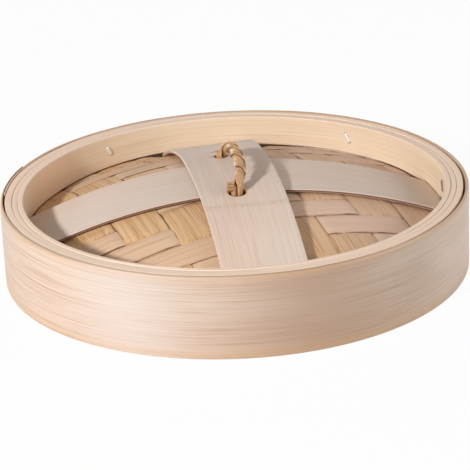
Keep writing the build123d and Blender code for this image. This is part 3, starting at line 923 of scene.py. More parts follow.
class Dome:
    """The sphere that the panel is woven on, and the plan of its strips."""

    def __init__(self, scene):
        rim, panel = scene.lid_rim, scene.lid_panel
        bore = facing_bore(rim)
        self.top = (bore**2 + panel.dome_rise**2) / (2 * panel.dome_rise)
        self.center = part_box("upper_facing_hoop")[0].z - panel.edge_drop + panel.dome_rise - self.top
        self.middle = self.top - panel.strip_thickness - (panel.layer_step - panel.strip_thickness) / 2
        self.under = self.top - panel.strip_thickness - panel.layer_step
        self.reach = node_radius("upper_clamp_hoop") + LAYER_GAP - panel.edge_clearance
        self.turn = panel.turn
        self.warp_bounds = self.bounds(bore + panel.warp_tuck, len(WARP_NODES), panel.warp_shift)
        self.weft_bounds = self.bounds(bore + panel.weft_tuck, len(WEFT_NODES), 0)
        self.bore, self.panel = bore, panel
        self.rim_top = self.center + math.sqrt(self.top**2 - bore**2)
        self.facing_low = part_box("upper_facing_hoop")[0].z
        self.strap_halves = np.array([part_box("top_strap")[1].x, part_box("cross_strap")[1].y])

    @staticmethod
    def bounds(half, strips, shift):
        """Places of the edges between strips, spread evenly over the panel and then shifted."""
        return [half * (2 * index / strips - 1) + shift for index in range(strips + 1)]

    @staticmethod
    def weft_over(column, row):
        return (column + row + TWILL_START) % (2 * TWILL_FLOAT) < TWILL_FLOAT

    def direction(self, quarter):
        """Plan directions along and across the weft strips, or the warp strips a quarter turn on."""
        turn = self.turn + quarter * math.pi / 2
        return np.array([math.cos(turn), math.sin(turn)]), np.array([-math.sin(turn), math.cos(turn)])

    def on(self, plan, radius):
        """Points over plan points at a distance from the dome's centre."""
        height = self.center + np.sqrt(radius**2 - (plan**2).sum(axis=1))
        return np.column_stack([plan, height + self.rise(plan)])

    def rise(self, plan):
        """How far the panel stands above its sphere near the rim, where no strap holds it down."""
        off = np.clip((np.abs(plan) - self.strap_halves - STRAP_HOLD) / STRAP_FADE, 0, 1)
        free = (off * off * (3 - 2 * off)).prod(axis=1)
        out = np.clip((np.linalg.norm(plan, axis=1) / self.bore - RISE_START) / (1 - RISE_START), 0, 1)
        return self.crest(np.arctan2(plan[:, 1], plan[:, 0])) * free * out**2

    def crest(self, turn):
        """The panel's rise against the facing hoop at an angle round the rim."""
        off = np.clip((turn - self.panel.bulge_middle) / self.panel.bulge_span, -1, 1)
        return self.panel.bulge * (1 - off**4) ** 2

    def facing_foot(self, degrees):
        """Height of the facing hoop's hand-cut lower edge, which follows the panel at the back."""
        if degrees >= 180:
            return self.facing_low
        return self.rim_top + FOOT_GAP + FOOT_RISE * float(self.crest(math.radians(degrees)))


def layer_height(place, levels, bounds, dive):
    """Layer of a strip at places along it: 1 over, -1 under, with a smooth dive between."""
    place = np.asarray(place, float)
    height = np.full(place.shape, float(levels[0]))
    for index in range(1, len(levels)):
        fall = levels[index] - levels[index - 1]
        if fall:
            portion = np.clip((place - bounds[index]) / dive, -1, 1)
            height += fall * (0.5 + 0.25 * (3 * portion - portion**3))
    return height


# Strips: first seed of each kind, rings along a strip and the width of its lanes,
# and how sharply a strip thins towards its edges
WEFT_SEED = 100
WARP_SEED = 200
STRIP_RINGS = 133
STRIP_LANE = 0.6 * MM
STRIP_BEVEL = 5
# Share of the panel's radius that the outermost strip's far edge may reach
STRIP_LIMIT = 0.985
# How far a strip strays sideways and how far its edges wander, and the longest waves of both
STRAY, STRAY_WAVE = 0.22 * MM, 140 * MM
WANDER, WANDER_WAVE = 0.12 * MM, 60 * MM
# Painted warm shade of the gaps between strips along a strip's raw edge, over some raw edge colour: how far
# in from its side it starts, and over which width it darkens
EDGE_SHADE_START = 0.7 * MM
EDGE_SHADE_FADE = 0.6 * MM
# How ragged the loop's holes through the panel are
WEAVE_CHIP = 0.3 * MM


def woven_strip(
    node, dome, panel, place, pitch, levels, bounds, quarter, seed, legs, leg_radius, material
):
    """One strip of the panel: thin at its edges, ridged along its fibres, diving over and under.
    place says where its middle lies across the panel, levels and bounds where it changes layer,
    and legs where the loop goes through it."""
    along, across = dome.direction(quarter)
    draw = random.Random(seed)
    half = (pitch - panel.strip_gap - panel.narrow * draw.random() ** 2) / 2
    limit = STRIP_LIMIT * dome.reach
    low, high = max(-half, -limit - place), min(half, limit - place)
    lanes = np.linspace(low, high, int((high - low) / STRIP_LANE))
    ridges = np.array([draw.uniform(-1, 1) for _ in lanes])
    ridges[1:-1] = (ridges[:-2] + 2 * ridges[1:-1] + ridges[2:]) / 4
    slim = np.abs(lanes / half) ** STRIP_BEVEL
    depth = (panel.strip_thickness * (1 - slim) + panel.edge_thickness * slim) / 2
    u = np.concatenate([lanes, lanes[::-1]])
    v = np.concatenate([depth + panel.ridge * (ridges - 1), -depth[::-1]])
    stray, wander = Ripple(seed, STRAY_WAVE), Ripple(seed + 1, WANDER_WAVE)
    rings = []
    for portion in np.linspace(-1, 1, STRIP_RINGS):
        q = place + u
        p = portion * np.sqrt(dome.reach**2 - q**2)
        q = q + STRAY * stray(p) + WANDER * wander(p) * u / half
        level = layer_height(p, levels, bounds, panel.dive)
        radius = dome.middle + level * panel.layer_step / 2 + v
        plan = p[:, None] * along + q[:, None] * across
        rings.append(dome.on(plan, radius))
    mesh = skin(node, rings)
    holes = [leg for leg in legs if abs(np.array(leg) @ across - place) < half + leg_radius]
    if holes:
        cutters = [ragged_cutter(leg, leg_radius, seed + n, WEAVE_CHIP) for n, leg in enumerate(holes)]
        mesh = cut(mesh, cutters)
    points = points_of(mesh)
    p, q = points[:, :2] @ along, points[:, :2] @ across
    depth = np.linalg.norm(points - (0, 0, dome.center), axis=1) - dome.middle
    store(mesh, "grain", np.stack([p + seed, q, depth], axis=1))
    # Where the painted shade of the gaps lies, along the strip's raw edges
    store(mesh, "edge", np.clip((np.abs(q - place) - half + EDGE_SHADE_START) / EDGE_SHADE_FADE, 0, 1))
    # How far a point lies to the panel's right, where a tint for the cooler light there is painted
    store(mesh, "painted_tint", np.clip(points[:, 0] / panel.tint_reach, 0, 1))
    smooth(mesh)
    return new_object(f"split_{node}", mesh, material, LID_BODY, [node])


def hole_places(straps):
    """Plan places of the loop's two holes."""
    return [(straps.hole_side, straps.hole_place), (straps.hole_side, -straps.hole_place)]


# Hand-made holes: step between two points round a cutter and the longest waves of its form and its
# nicks in degrees, the nicks' share, how far it draws in by its raggedness, and its two ends' heights
CUTTER_STEP = 7.5
CUTTER_WAVE, NICK_WAVE = 360, 70
NICK_SHARE = 0.6
DRAW_IN = 0.3
CUTTER_ENDS = (20 * MM, 80 * MM)


def ragged_cutter(center, radius, seed, raggedness):
    """An upright cutter for a hand-made hole."""
    wobble, nicks = Ripple(seed, CUTTER_WAVE, 3), Ripple(seed + 5, NICK_WAVE, 4)
    ring = []
    for degrees in np.arange(0, 360, CUTTER_STEP):
        out = radius + raggedness * (float(wobble(degrees) + NICK_SHARE * nicks(degrees)) - DRAW_IN)
        turn = math.radians(degrees)
        ring.append((center[0] + out * math.cos(turn), center[1] + out * math.sin(turn)))
    return skin("cutter", [[(x, y, z) for x, y in ring] for z in CUTTER_ENDS])


class FibreBundle:
    """Tapered three-sided fibres on the panel, gathered for one mesh."""

    STEPS = 4
    TURNS = (90, 210, 330)
    TAPER = 0.85
    SINK = 0.1 * MM

    def __init__(self, dome):
        self.dome = dome
        self.points, self.faces, self.grain = [], [], []

    def add(self, place, heading, size, thick, lift):
        """Adds one fibre that starts at a plan place and lifts off towards its tip."""
        first, sides = len(self.points), len(self.TURNS)
        for step in range(self.STEPS + 1):
            run = step / self.STEPS
            plan = np.array([place + heading * size * run])
            x, y, z = self.dome.on(plan, self.dome.top - self.SINK + lift * run**2)[0]
            wide = thick * (1 - self.TAPER * run)
            for turn in self.TURNS:
                side, up = wide * math.cos(math.radians(turn)), wide * math.sin(math.radians(turn))
                self.points.append((x - heading[1] * side, y + heading[0] * side, z + up))
                self.grain.append((size * run + first, side, up))
        for step in range(self.STEPS):
            row = first + sides * step
            for k in range(sides):
                a, b = row + k, row + (k + 1) % sides
                self.faces.append((a, b, b + sides, a + sides))
        last = first + sides * self.STEPS
        self.faces.append((first + 2, first + 1, first))
        self.faces.append((last, last + 1, last + 2))


# Frayed fibres: where they start beyond a dive in millimetres, their spread in strip widths, their sway,
# the share of the bore that has them, and limits of length, radius and lift in millimetres
FIBRE_SEED = 71
FIBRE_STARTS = (-1.5, 2.5)
FIBRE_SPREAD = 0.46
FIBRE_SWAY = 0.25
FIBRE_REACH = 0.93
FIBRE_SIZES = ((2.5, 7), (0.09, 0.17), (0.1, 0.9))
# Splinters: how far they stray along their row and across it in millimetres, their sway, and the same limits
COMB_STRAY = 0.4
COMB_DEPTH = 0.8
COMB_SWAY = (-0.1, 0.35)
COMB_SIZES = ((2.4, 4.6), (0.16, 0.26), (0.2, 0.8))


def frayed_fibres(dome, panel, material):
    """Fibres sprung from where warp strips dive under weft strips, and splinters before the cross strap."""
    draw = random.Random(FIBRE_SEED)
    along, across = dome.direction(1)
    bundle = FibreBundle(dome)
    pitch = dome.warp_bounds[1] - dome.warp_bounds[0]
    for _ in range(panel.fibre_count):
        column = draw.randrange(len(WARP_NODES))
        row = draw.randrange(1, len(WEFT_NODES))
        if dome.weft_over(column, row) == dome.weft_over(column, row - 1):
            continue
        forth = -1 if dome.weft_over(column, row - 1) else 1
        p = dome.weft_bounds[row] - forth * draw.uniform(*FIBRE_STARTS) * MM
        middle = -(dome.warp_bounds[column] + dome.warp_bounds[column + 1]) / 2
        q = middle + draw.uniform(-FIBRE_SPREAD, FIBRE_SPREAD) * pitch
        heading = forth * np.array(Vector((1, draw.uniform(-FIBRE_SWAY, FIBRE_SWAY))).normalized())
        sizes = [draw.uniform(*limits) * MM for limits in FIBRE_SIZES]
        if math.hypot(p, q) < FIBRE_REACH * dome.bore:
            bundle.add(p * along + q * across, heading[0] * along + heading[1] * across, *sizes)
    comb_front = -dome.strap_halves[1] - panel.comb_offset
    for x in np.linspace(-panel.comb_far, -panel.comb_near, panel.comb_count):
        stray = draw.uniform(-COMB_STRAY, COMB_STRAY) * MM
        place = np.array([x + stray, comb_front + draw.uniform(-COMB_DEPTH, COMB_DEPTH) * MM])
        heading = np.array(Vector((draw.uniform(*COMB_SWAY), 1)).normalized())
        bundle.add(place, heading, *[draw.uniform(*limits) * MM for limits in COMB_SIZES])
    mesh = bpy.data.meshes.new("frayed_fibres")
    mesh.from_pydata(bundle.points, [], bundle.faces)
    mesh.update()
    store(mesh, "grain", bundle.grain)
    smooth(mesh)
    return new_object("frayed_fibres", mesh, material, LID_BODY)


class STEAMERLID_OT_weave(bpy.types.Operator):
    """Weave the domed twill panel from warp and weft strips"""

    bl_idname = "steamer_lid.weave"
    bl_label = "Weave Panel"

    def execute(self, context):
        scene = context.scene
        panel = scene.lid_panel
        dome = Dome(scene)
        warp, weft = warp_bamboo(scene.lid_finish), weft_bamboo(scene.lid_finish)
        legs = hole_places(scene.lid_straps)
        leg_radius = scene.lid_loop.weave_hole
        for row, node in enumerate(WEFT_NODES):
            levels = [1 if dome.weft_over(column, row) else -1 for column in range(len(WARP_NODES))]
            low, high = dome.weft_bounds[row : row + 2]
            woven_strip(
                node, dome, panel, (low + high) / 2, high - low, levels, dome.warp_bounds, 0,
                WEFT_SEED + row, legs, leg_radius, weft,
            )
        for column, node in enumerate(WARP_NODES):
            levels = [-1 if dome.weft_over(column, row) else 1 for row in range(len(WEFT_NODES))]
            low, high = dome.warp_bounds[column : column + 2]
            woven_strip(
                node, dome, panel, -(low + high) / 2, high - low, levels, dome.weft_bounds, 1,
                WARP_SEED + column, legs, leg_radius, warp,
            )
        frayed_fibres(dome, panel, warp)
        return {"FINISHED"}


# Straps

class StrapArc:
    """Circle that a strap is bent to, in the upright plane along it."""

    def __init__(self, center, under, reach, half):
        self.center, self.under, self.reach, self.half = center, under, reach, half

    def top_at(self, place, straps):
        """Height of the strap's upper face at a distance along it."""
        return self.center + math.sqrt((self.under + straps.thickness) ** 2 - place**2)


def strap_arcs(scene):
    """Arcs of the cross strap, which hugs the dome, and the top strap, which arches over it."""
    dome, straps = Dome(scene), scene.lid_straps
    cross_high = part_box("cross_strap")[1]
    top_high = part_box("top_strap")[1]
    reach = cross_high.x
    cross = StrapArc(dome.center, dome.top + straps.clearance, reach, cross_high.y)
    saddle = dome.center + cross.under + straps.thickness + straps.clearance
    end = dome.center + math.sqrt(cross.under**2 - reach**2)
    center = (cross.half**2 + saddle**2 - reach**2 - end**2) / (2 * (saddle - end))
    top = StrapArc(center, math.hypot(cross.half, saddle - center), reach, top_high.x)
    return cross, top


# Straps: seeds, points across a face and rings along it
STRAP_SEEDS = {"cross_strap": 301, "top_strap": 311}
STRAP_LANES = 47
STRAP_RINGS = 181
# How far a strap sways, cups and ripples, each with its longest wave, and how its width follows the sway
SWAY, SWAY_WAVE = 0.15 * MM, 160 * MM
SWAY_WIDTH = 0.006
CUP, CUP_WAVE = 0.05 * MM, 110 * MM
WAVE, WAVE_LENGTH = 0.03 * MM, 13 * MM
# The top strap's twist starts this far behind the lid's axis and grows over this length,
# its skew turns about a place this far in front of the axis, and its joint wanders this far,
# with specks over this multiple of the joint's width
TWIST_START, TWIST_RUN = 28 * MM, 40 * MM
SKEW_PIVOT = 18 * MM
JOINT_WANDER = 0.5 * MM
JOINT_SPREAD = 1.3
# How dark the straps' lower sides are, painted shade of the gap under each strap over some raw wood colour,
# strong on the cross strap and faint on the lit top strap, how far in from the edge and up to which share of
# the thickness
SIDE_SHADES = {"cross_strap": 0.9, "top_strap": 0.25}
SIDE_SHADE_WIDTH = 0.3 * MM
SIDE_SHADE_HEIGHT = 0.8
# Width of the raw cut round a hole
CUT_BAND = 0.7 * MM
# How ragged the back hole is against the front one
BACK_HOLE_CHIP = 0.4


def bent_strap(node, arc, straps, quarter, holes, joint_place, material):
    """A flat slat bent to its arc, with eased edges. The one with holes also has a cane joint,
    and lies a little askew."""
    seed = STRAP_SEEDS[node]
    turn = Matrix.Rotation(quarter * math.pi / 2, 2)
    along, across = np.array(turn.col[0]), np.array(turn.col[1])
    rounds = [straps.edge_round, straps.edge_round, straps.under_round, straps.under_round]
    lanes = np.linspace(0, 1, STRAP_LANES)[1:-1]
    outline = slat_outline(-arc.half, arc.half, 0, straps.thickness, lanes, rounds)
    face = np.clip(outline[:, 1] / straps.thickness, 0, 1)
    sway, cup = Ripple(seed, SWAY_WAVE), Ripple(seed + 1, CUP_WAVE)
    waves = Ripple(seed + 2, WAVE_LENGTH, 3)
    rings = []
    for portion in np.linspace(-1, 1, STRAP_RINGS):
        u = outline[:, 0]
        p = portion * np.sqrt(arc.reach**2 - u**2)
        q = u * (1 + SWAY_WIDTH * sway(p)) + SWAY * sway(p)
        lift = CUP * cup(p) + WAVE * waves(u)
        tip = 0.0
        if holes:
            tip = straps.twist * np.clip((p - TWIST_START) / TWIST_RUN, 0, 1) * -u / arc.half
            widen = 1 + straps.taper / (4 * arc.half * arc.reach) * p
            q = q * widen + math.tan(straps.skew) * (p + SKEW_PIVOT)
        if joint_place is not None:
            off = (p - joint_place - JOINT_WANDER * waves(2 * u)) / straps.joint_width
            lift = lift + straps.joint_height * np.exp(-(off**2))
        radius = arc.under + outline[:, 1] + face * lift
        height = arc.center + np.sqrt(radius**2 - p**2) + tip
        plan = p[:, None] * along + q[:, None] * across
        rings.append(np.column_stack([plan, height]))
    mesh = skin(node, rings)
    # The lower sides get painted shade of the gap under the strap, strong on the cross strap and faint on
    # the lit top strap
    side = (np.abs(outline[:, 0]) > arc.half - SIDE_SHADE_WIDTH) & (face < SIDE_SHADE_HEIGHT)
    store(mesh, "edge", np.tile(np.where(side, SIDE_SHADES[node], 0.0), len(rings)))
    if holes:
        back, front = holes
        cutters = [
            ragged_cutter(back, straps.back_hole, seed, BACK_HOLE_CHIP * straps.hole_chip),
            ragged_cutter(front, straps.hole_radius, seed + 9, straps.hole_chip),
        ]
        mesh = cut(mesh, cutters)
    points = points_of(mesh)
    p, q = points[:, :2] @ along, points[:, :2] @ across
    depth = np.hypot(p, points[:, 2] - arc.center) - arc.under
    store(mesh, "grain", np.stack([p + seed, q, depth], axis=1))
    joint = np.zeros(len(points))
    if joint_place is not None:
        joint = np.exp(-(((p - joint_place) / (JOINT_SPREAD * straps.joint_width)) ** 2))
    store(mesh, "joint", joint)
    cut_edge = np.zeros(len(points))
    for hole in holes:
        off = np.linalg.norm(points[:, :2] - np.array(hole), axis=1) - straps.hole_radius
        cut_edge = np.maximum(cut_edge, np.clip(1 - off / CUT_BAND, 0, 1))
    store(mesh, "cut_edge", cut_edge)
    smooth(mesh)
    return new_object(f"split_{node}", mesh, material, LID_BODY, [node])


class STEAMERLID_OT_straps(bpy.types.Operator):
    """Bend the cross strap and the top strap with its two holes"""

    bl_idname = "steamer_lid.straps"
    bl_label = "Bend Straps"

    def execute(self, context):
        scene = context.scene
        straps = scene.lid_straps
        material = strap_bamboo(scene.lid_finish)
        cross, top = strap_arcs(scene)
        bent_strap("cross_strap", cross, straps, 0, [], None, material)
        bent_strap("top_strap", top, straps, 1, hole_places(straps), straps.joint_place, material)
        return {"FINISHED"}


# Cane loop

# The loop's line: longest step along an arc, fewest steps, and the distance of two points that are one
LINE_STEP = 0.55 * MM
LEAST_STEPS = 6
SAME_PLACE = 1e-7


def loop_line(scene):
    """Centre line of the loop as arcs and legs: points, outward normals and lengths along it."""
    loop, straps = scene.lid_loop, scene.lid_straps
    dome = Dome(scene)
    leg = straps.hole_place
    run = dome.under - loop.under_clearance - loop.radius
    heel_place = leg - loop.heel_radius
    heel_reach = run + loop.heel_radius
    waist = dome.center + math.sqrt(heel_reach**2 - heel_place**2)
    run_half = math.asin(heel_place / heel_reach)
    neck = waist + loop.leg
    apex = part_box("handle_loop")[1].z - loop.radius
    shoulder_place = leg - loop.shoulder_radius
    arch = apex - neck
    crown = (shoulder_place**2 + arch**2 - loop.shoulder_radius**2) / (2 * (arch - loop.shoulder_radius))
    crown_half = math.asin(shoulder_place / (crown - loop.shoulder_radius))
    quarter = math.pi / 2
    arcs = [
        ((shoulder_place, neck), loop.shoulder_radius, 0, quarter - crown_half),
        ((0, apex - crown), crown, quarter - crown_half, quarter + crown_half),
        ((-shoulder_place, neck), loop.shoulder_radius, quarter + crown_half, 2 * quarter),
        ((-heel_place, waist), loop.heel_radius, 2 * quarter, 3 * quarter + run_half),
        ((0, dome.center), run, quarter + run_half, quarter - run_half),
        ((heel_place, waist), loop.heel_radius, -quarter - run_half, 0),
    ]
    points, normals = [], []
    for center, radius, start, stop in arcs:
        steps = max(LEAST_STEPS, int(abs(stop - start) * radius / LINE_STEP))
        outward = 1 if stop > start else -1
        for turn in np.linspace(start, stop, steps):
            ray = np.array([math.cos(turn), math.sin(turn)])
            points.append(np.array(center) + radius * ray)
            normals.append(outward * ray)
    points, normals = np.array(points), np.array(normals)
    steps = np.linalg.norm(np.roll(points, -1, axis=0) - points, axis=1)
    keep = steps > SAME_PLACE
    points, normals, steps = points[keep], normals[keep], steps[keep]
    return points, normals, np.concatenate([[0], np.cumsum(steps)[:-1]]), steps.sum()


# The cane's uneven lay, from the front hole back over the crown to the back hole:
# distance in millimetres, turn of the twist in degrees and radius in millimetres.
LAY = (
    (-9, -60, 3.4), (-4, -30, 3.4), (-1, -5, 3.8), (1.5, 0, 3.9), (4, 0, 4.5), (7, -30, 3.7),
    (11, -70, 3.0), (17, -240, 3.4), (23, -280, 3.3), (32, -440, 3.5), (54, -770, 3.4), (60, -860, 3.4),
)


# A strand's half-round section: half its angle and the angle where it stops standing proud, in degrees,
# points round its face and along its flat back, and its ridges' heights as shares of the radius, with
# their count in a full turn
HALF_FACE = 84
PROUD_END = 20
FACE_POINTS, BACK_POINTS = 27, 9
RIDGES = ((0.02, 13), (0.015, 21))
CANE_SEED = 401
# Full turns of the twist in one round of the loop
ROUND_TURNS = 4
# Painted shade in the crease beside the other strand's lip: the angle where it starts and how many degrees
# on it is full, and the stretch past the front foot over which it fades, from which share to which
VALLEY_START, VALLEY_RUN = 52, 20
VALLEY_FADE = (24 * MM, 34 * MM)
VALLEY_SHARES = (1.0, 0.3)


def cane_strand(number, scene, material):
    """One of the two half-round strands, twisted round the loop's centre line with one edge proud."""
    loop = scene.lid_loop
    line, normals, places, total = loop_line(scene)
    front = places[np.argmin(line[:, 0] + np.abs(line[:, 1] - line[:, 1].mean()))]
    knots = [(front - back * MM, turn, radius) for back, turn, radius in reversed(LAY)]
    knots.append((total + knots[0][0], knots[0][1] + ROUND_TURNS * 360, knots[0][2]))
    stations, turns, radii = np.array(knots).T
    face = np.radians(np.linspace(-HALF_FACE, HALF_FACE, FACE_POINTS))
    proud = np.clip((PROUD_END - np.degrees(face)) / (PROUD_END + HALF_FACE), 0, 1) ** 2
    draw = random.Random(CANE_SEED + number)
    ridge = sum(height * np.cos(waves * face + draw.uniform(0, 6)) for height, waves in RIDGES)
    back = np.linspace(1, -1, BACK_POINTS)[1:-1]
    tucked = np.clip((np.degrees(face) - VALLEY_START) / VALLEY_RUN, 0, 1)
    strap_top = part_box("top_strap")[1].z
    crown = line[:, 1].max()
    rings, grain, crease_shade_and_dark_ends = [], [], []
    for (y, z), (ny, nz), place in zip(line, normals, places):
        along = place if place >= stations[0] else place + total
        phase = math.radians(np.interp(along, stations, turns) + HALF_FACE) + math.pi * number
        out = np.array([math.sin(phase), math.cos(phase) * ny, math.cos(phase) * nz])
        aside = np.array([math.cos(phase), -math.sin(phase) * ny, -math.sin(phase) * nz])
        size = MM * np.interp(along, stations, radii)
        radius = (size - loop.lip * (1 - proud)) * (1 + ridge)
        depth = np.concatenate([radius * np.cos(face), np.full(len(back), radius[-1] * math.cos(face[-1]))])
        wide = np.concatenate([radius * np.sin(face), np.where(back > 0, radius[-1], radius[0]) * back])
        rise = min(1.0, max(0.0, (z - strap_top) / (crown - strap_top)))
        aslant = loop.lean * rise * rise * (3 - 2 * rise)
        center = np.array([scene.lid_straps.hole_side + aslant, y, z])
        rings.append(center + depth[:, None] * out + wide[:, None] * aside)
        lengthwise = np.full(len(depth), place + number)
        grain.append(np.stack([lengthwise, radius[0] * np.append(face, back), depth], axis=1))
        # Painted shade in the crease under the other strand's lip and on the hidden back, fading past the
        # front foot
        faint = np.interp(front - along, VALLEY_FADE, VALLEY_SHARES)
        crease_shade_and_dark_ends.append(faint * np.concatenate([tucked, np.ones(len(back))]))
    mesh = skin(f"cane_strand_{number + 1}", rings, closed=True)
    store(mesh, "grain", np.concatenate(grain))
    store(mesh, "crease_shade_and_dark_ends", np.concatenate(crease_shade_and_dark_ends))
    smooth(mesh, sharp_angle=math.radians(50))
    return new_object(f"cane_strand_{number + 1}", mesh, material, LOOP_BODY, ["handle_loop"])


# Loose fibres of the cane: rings, sides, and the taper under which an end is blunt and dark
WHISKER_RINGS, WHISKER_SIDES = 9, 6
BLUNT_TAPER = 0.5
# Each starts beside the back foot (1) or the front foot (-1), this far behind its hole, at this height,
# and has a heading, a length, a radius and a droop, all but the heading in millimetres
WHISKERS = (
    (1, -3, 55.3, (-1, 0.1, 0.05), 7, 0.25, 1.2),
    (1, -5, 56.4, (-1, -0.4, 0.3), 3, 0.2, 0.6),
    (-1, -0.3, 54.8, (-1, -0.6, 0.3), 2.6, 0.22, 0.5),
)
WHISKER_SIDE = 2 * MM
# Curled strand ends: where the lowest starts from the foot's middle and how far each next one steps in,
# their headings, droop and taper
STUB_LEFT, STUB_FRONT, STUB_STEP_IN = 2.2 * MM, 1.6 * MM, 0.3 * MM
STUB_AHEAD, STUB_TURN, STUB_UP = 0.5, 0.15, 0.25
STUB_DROOP = 0.9 * MM
STUB_TAPER = 0.35


def whisker(name, root, heading, size, thick, droop, material, taper=0.8):
    """A frayed fibre of the cane that springs away from the loop."""
    root, heading = np.array(root), np.array(heading) / np.linalg.norm(heading)
    side = np.cross(heading, (0, 0, 1))
    side /= np.linalg.norm(side)
    lift = np.cross(side, heading)
    runs = np.linspace(0, 1, WHISKER_RINGS)
    rings, grain = [], []
    for run in runs:
        center = root + heading * size * run + np.array([0, 0, -droop * run**2])
        radius = thick * (1 - taper * run**2)
        ring = []
        for turn in np.linspace(0, 2 * math.pi, WHISKER_SIDES, endpoint=False):
            ring.append(center + radius * (math.cos(turn) * side + math.sin(turn) * lift))
            grain.append((size * run, radius * math.cos(turn), radius * math.sin(turn)))
        rings.append(ring)
    mesh = skin(name, rings)
    store(mesh, "grain", grain)
    dark = runs**3 if taper < BLUNT_TAPER else np.zeros(WHISKER_RINGS)
    store(mesh, "crease_shade_and_dark_ends", np.repeat(dark, WHISKER_SIDES))
    smooth(mesh, sharp_angle=math.radians(80))
    return new_object(name, mesh, material, LOOP_BODY)


def fray_front_foot(scene, material):
    """Stubby strand ends that curl out of the loop's front foot on its left, one above the other."""
    straps, loop = scene.lid_straps, scene.lid_loop
    strap_top = strap_arcs(scene)[1].top_at(straps.hole_place, straps)
    foot = np.array([straps.hole_side, -straps.hole_place, strap_top])
    for number in range(loop.stub_count):
        rise = loop.stub_low + number * loop.stub_step
        root = foot + np.array([STUB_STEP_IN * number - STUB_LEFT, -STUB_FRONT, rise])
        heading = (-1, STUB_TURN * number - STUB_AHEAD, STUB_UP)
        whisker(
            f"cane_stub_{number + 1}", root, heading, loop.stub_length, loop.stub_radius, STUB_DROOP,
            material, STUB_TAPER,
        )


def fray_sides(scene, material):
    """Fine fibres that stand off to the left of the loop's feet."""
    straps = scene.lid_straps
    side = straps.hole_side - WHISKER_SIDE
    for number, (foot, behind, height, heading, size, thick, droop) in enumerate(WHISKERS):
        root = (side, foot * straps.hole_place + behind * MM, height * MM)
        whisker(f"cane_whisker_{number + 1}", root, heading, size * MM, thick * MM, droop * MM, material)


class STEAMERLID_OT_loop(bpy.types.Operator):
    """Twist the two strands of the cane loop and fray a few of its fibres"""

    bl_idname = "steamer_lid.loop"
    bl_label = "Twist Loop"

    def execute(self, context):
        scene = context.scene
        material = cane(scene.lid_finish)
        for number in range(2):
            cane_strand(number, scene, material)
        fray_front_foot(scene, material)
        fray_sides(scene, material)
        return {"FINISHED"}


# Staples

# Where the staples stand round the rim in degrees, and the one that is dull all over
STAPLE_TURNS = (-4.0, 46.0, 121.0, 176.0, 236.0, 296.0)
DULL_STAPLE = 0
# The others are dull from this depth in the wood
DULL_DEPTH = 0.5 * MM
# Points on a staple's corner and on its crown, sides of its wire, and how square that is: 1 is round
CORNER_POINTS, CROWN_POINTS = 7, 7
WIRE_SIDES = 14
WIRE_SQUARE = 0.7


def staple_line(staples):
    """A staple's bent wire in its own plane: places along the crown and into the wood."""
    half, leg, corner = staples.crown / 2, staples.leg, staples.corner
    points = [(-half, leg), (-half, corner)]
    for turn in np.linspace(180, 270, CORNER_POINTS)[1:]:
        a = math.radians(turn)
        points.append((-half + corner + corner * math.cos(a), corner + corner * math.sin(a)))
    bow = np.linspace(-half + corner, half - corner, CROWN_POINTS)[1:-1]
    points += [(x, 0.0) for x in bow]
    points += [(-x, depth) for x, depth in reversed(points[: -len(bow)])]
    return np.array(points)


def squared(wave):
    """A sine or cosine drawn out, so that a section made with it is squarer than an ellipse."""
    return np.sign(wave) * np.abs(wave) ** WIRE_SQUARE


def joined_mesh(name, meshes):
    """One mesh of several, which are used up."""
    points, faces = [], []
    for mesh in meshes:
        first = len(points)
        points += points_of(mesh).tolist()
        faces += [tuple(first + v for v in polygon.vertices) for polygon in mesh.polygons]
        bpy.data.meshes.remove(mesh)
    joined = bpy.data.meshes.new(name)
    joined.from_pydata(points, [], faces)
    joined.update()
    return joined


class STEAMERLID_OT_staples(bpy.types.Operator):
    """Bend the flattened wire staples through the inner hoops"""

    bl_idname = "steamer_lid.staples"
    bl_label = "Bend Staples"

    def execute(self, context):
        scene = context.scene
        staples = scene.lid_staples
        line = staple_line(staples)
        tangent = np.gradient(line, axis=0)
        tangent /= np.linalg.norm(tangent, axis=1)[:, None]
        bore = facing_bore(scene.lid_rim)
        height = (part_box("upper_facing_hoop")[0].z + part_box("outer_hoop")[1].z) / 2
        around = np.linspace(0, 2 * math.pi, WIRE_SIDES, endpoint=False)
        wide = staples.width / 2 * squared(np.cos(around))
        thin = staples.thickness / 2 * squared(np.sin(around))
        lean, upright = staples.lean, np.array([0, 0, 1])
        meshes, grain, dull = [], [], []
        for number, turn in enumerate(STAPLE_TURNS):
            a = math.radians(turn)
            outward = np.array([math.cos(a), math.sin(a), 0])
            beside = np.array([-math.sin(a), math.cos(a), 0])
            crown = math.sin(lean) * beside + math.cos(lean) * upright
            flat = math.cos(lean) * beside - math.sin(lean) * upright
            root = outward * (bore - staples.thickness / 2) + height * upright
            rings = []
            for (x, depth), (tx, td) in zip(line, tangent):
                center = root + x * crown + depth * outward
                normal = -td * crown + tx * outward
                rings.append(center + wide[:, None] * flat + thin[:, None] * normal)
                grain.append(np.stack([np.full(WIRE_SIDES, x + depth + number), wide, thin], axis=1))
                dull += [1.0 if number == DULL_STAPLE else min(1.0, depth / DULL_DEPTH)] * WIRE_SIDES
            meshes.append(skin(f"staple_{number + 1}", rings))
        joined = joined_mesh("wire_staples", meshes)
        store(joined, "grain", np.concatenate(grain))
        store(joined, "dull", dull)
        smooth(joined, sharp_angle=math.radians(60))
        material = tinned_wire(scene.lid_finish)
        new_object("wire_staples", joined, material, LID_BODY, ["rim_staples"])
        return {"FINISHED"}


# Stage

WHITE = (1.0, 1.0, 1.0)
FLOOR_HALF = 6.0
FLOOR_DROP = 0.05 * MM
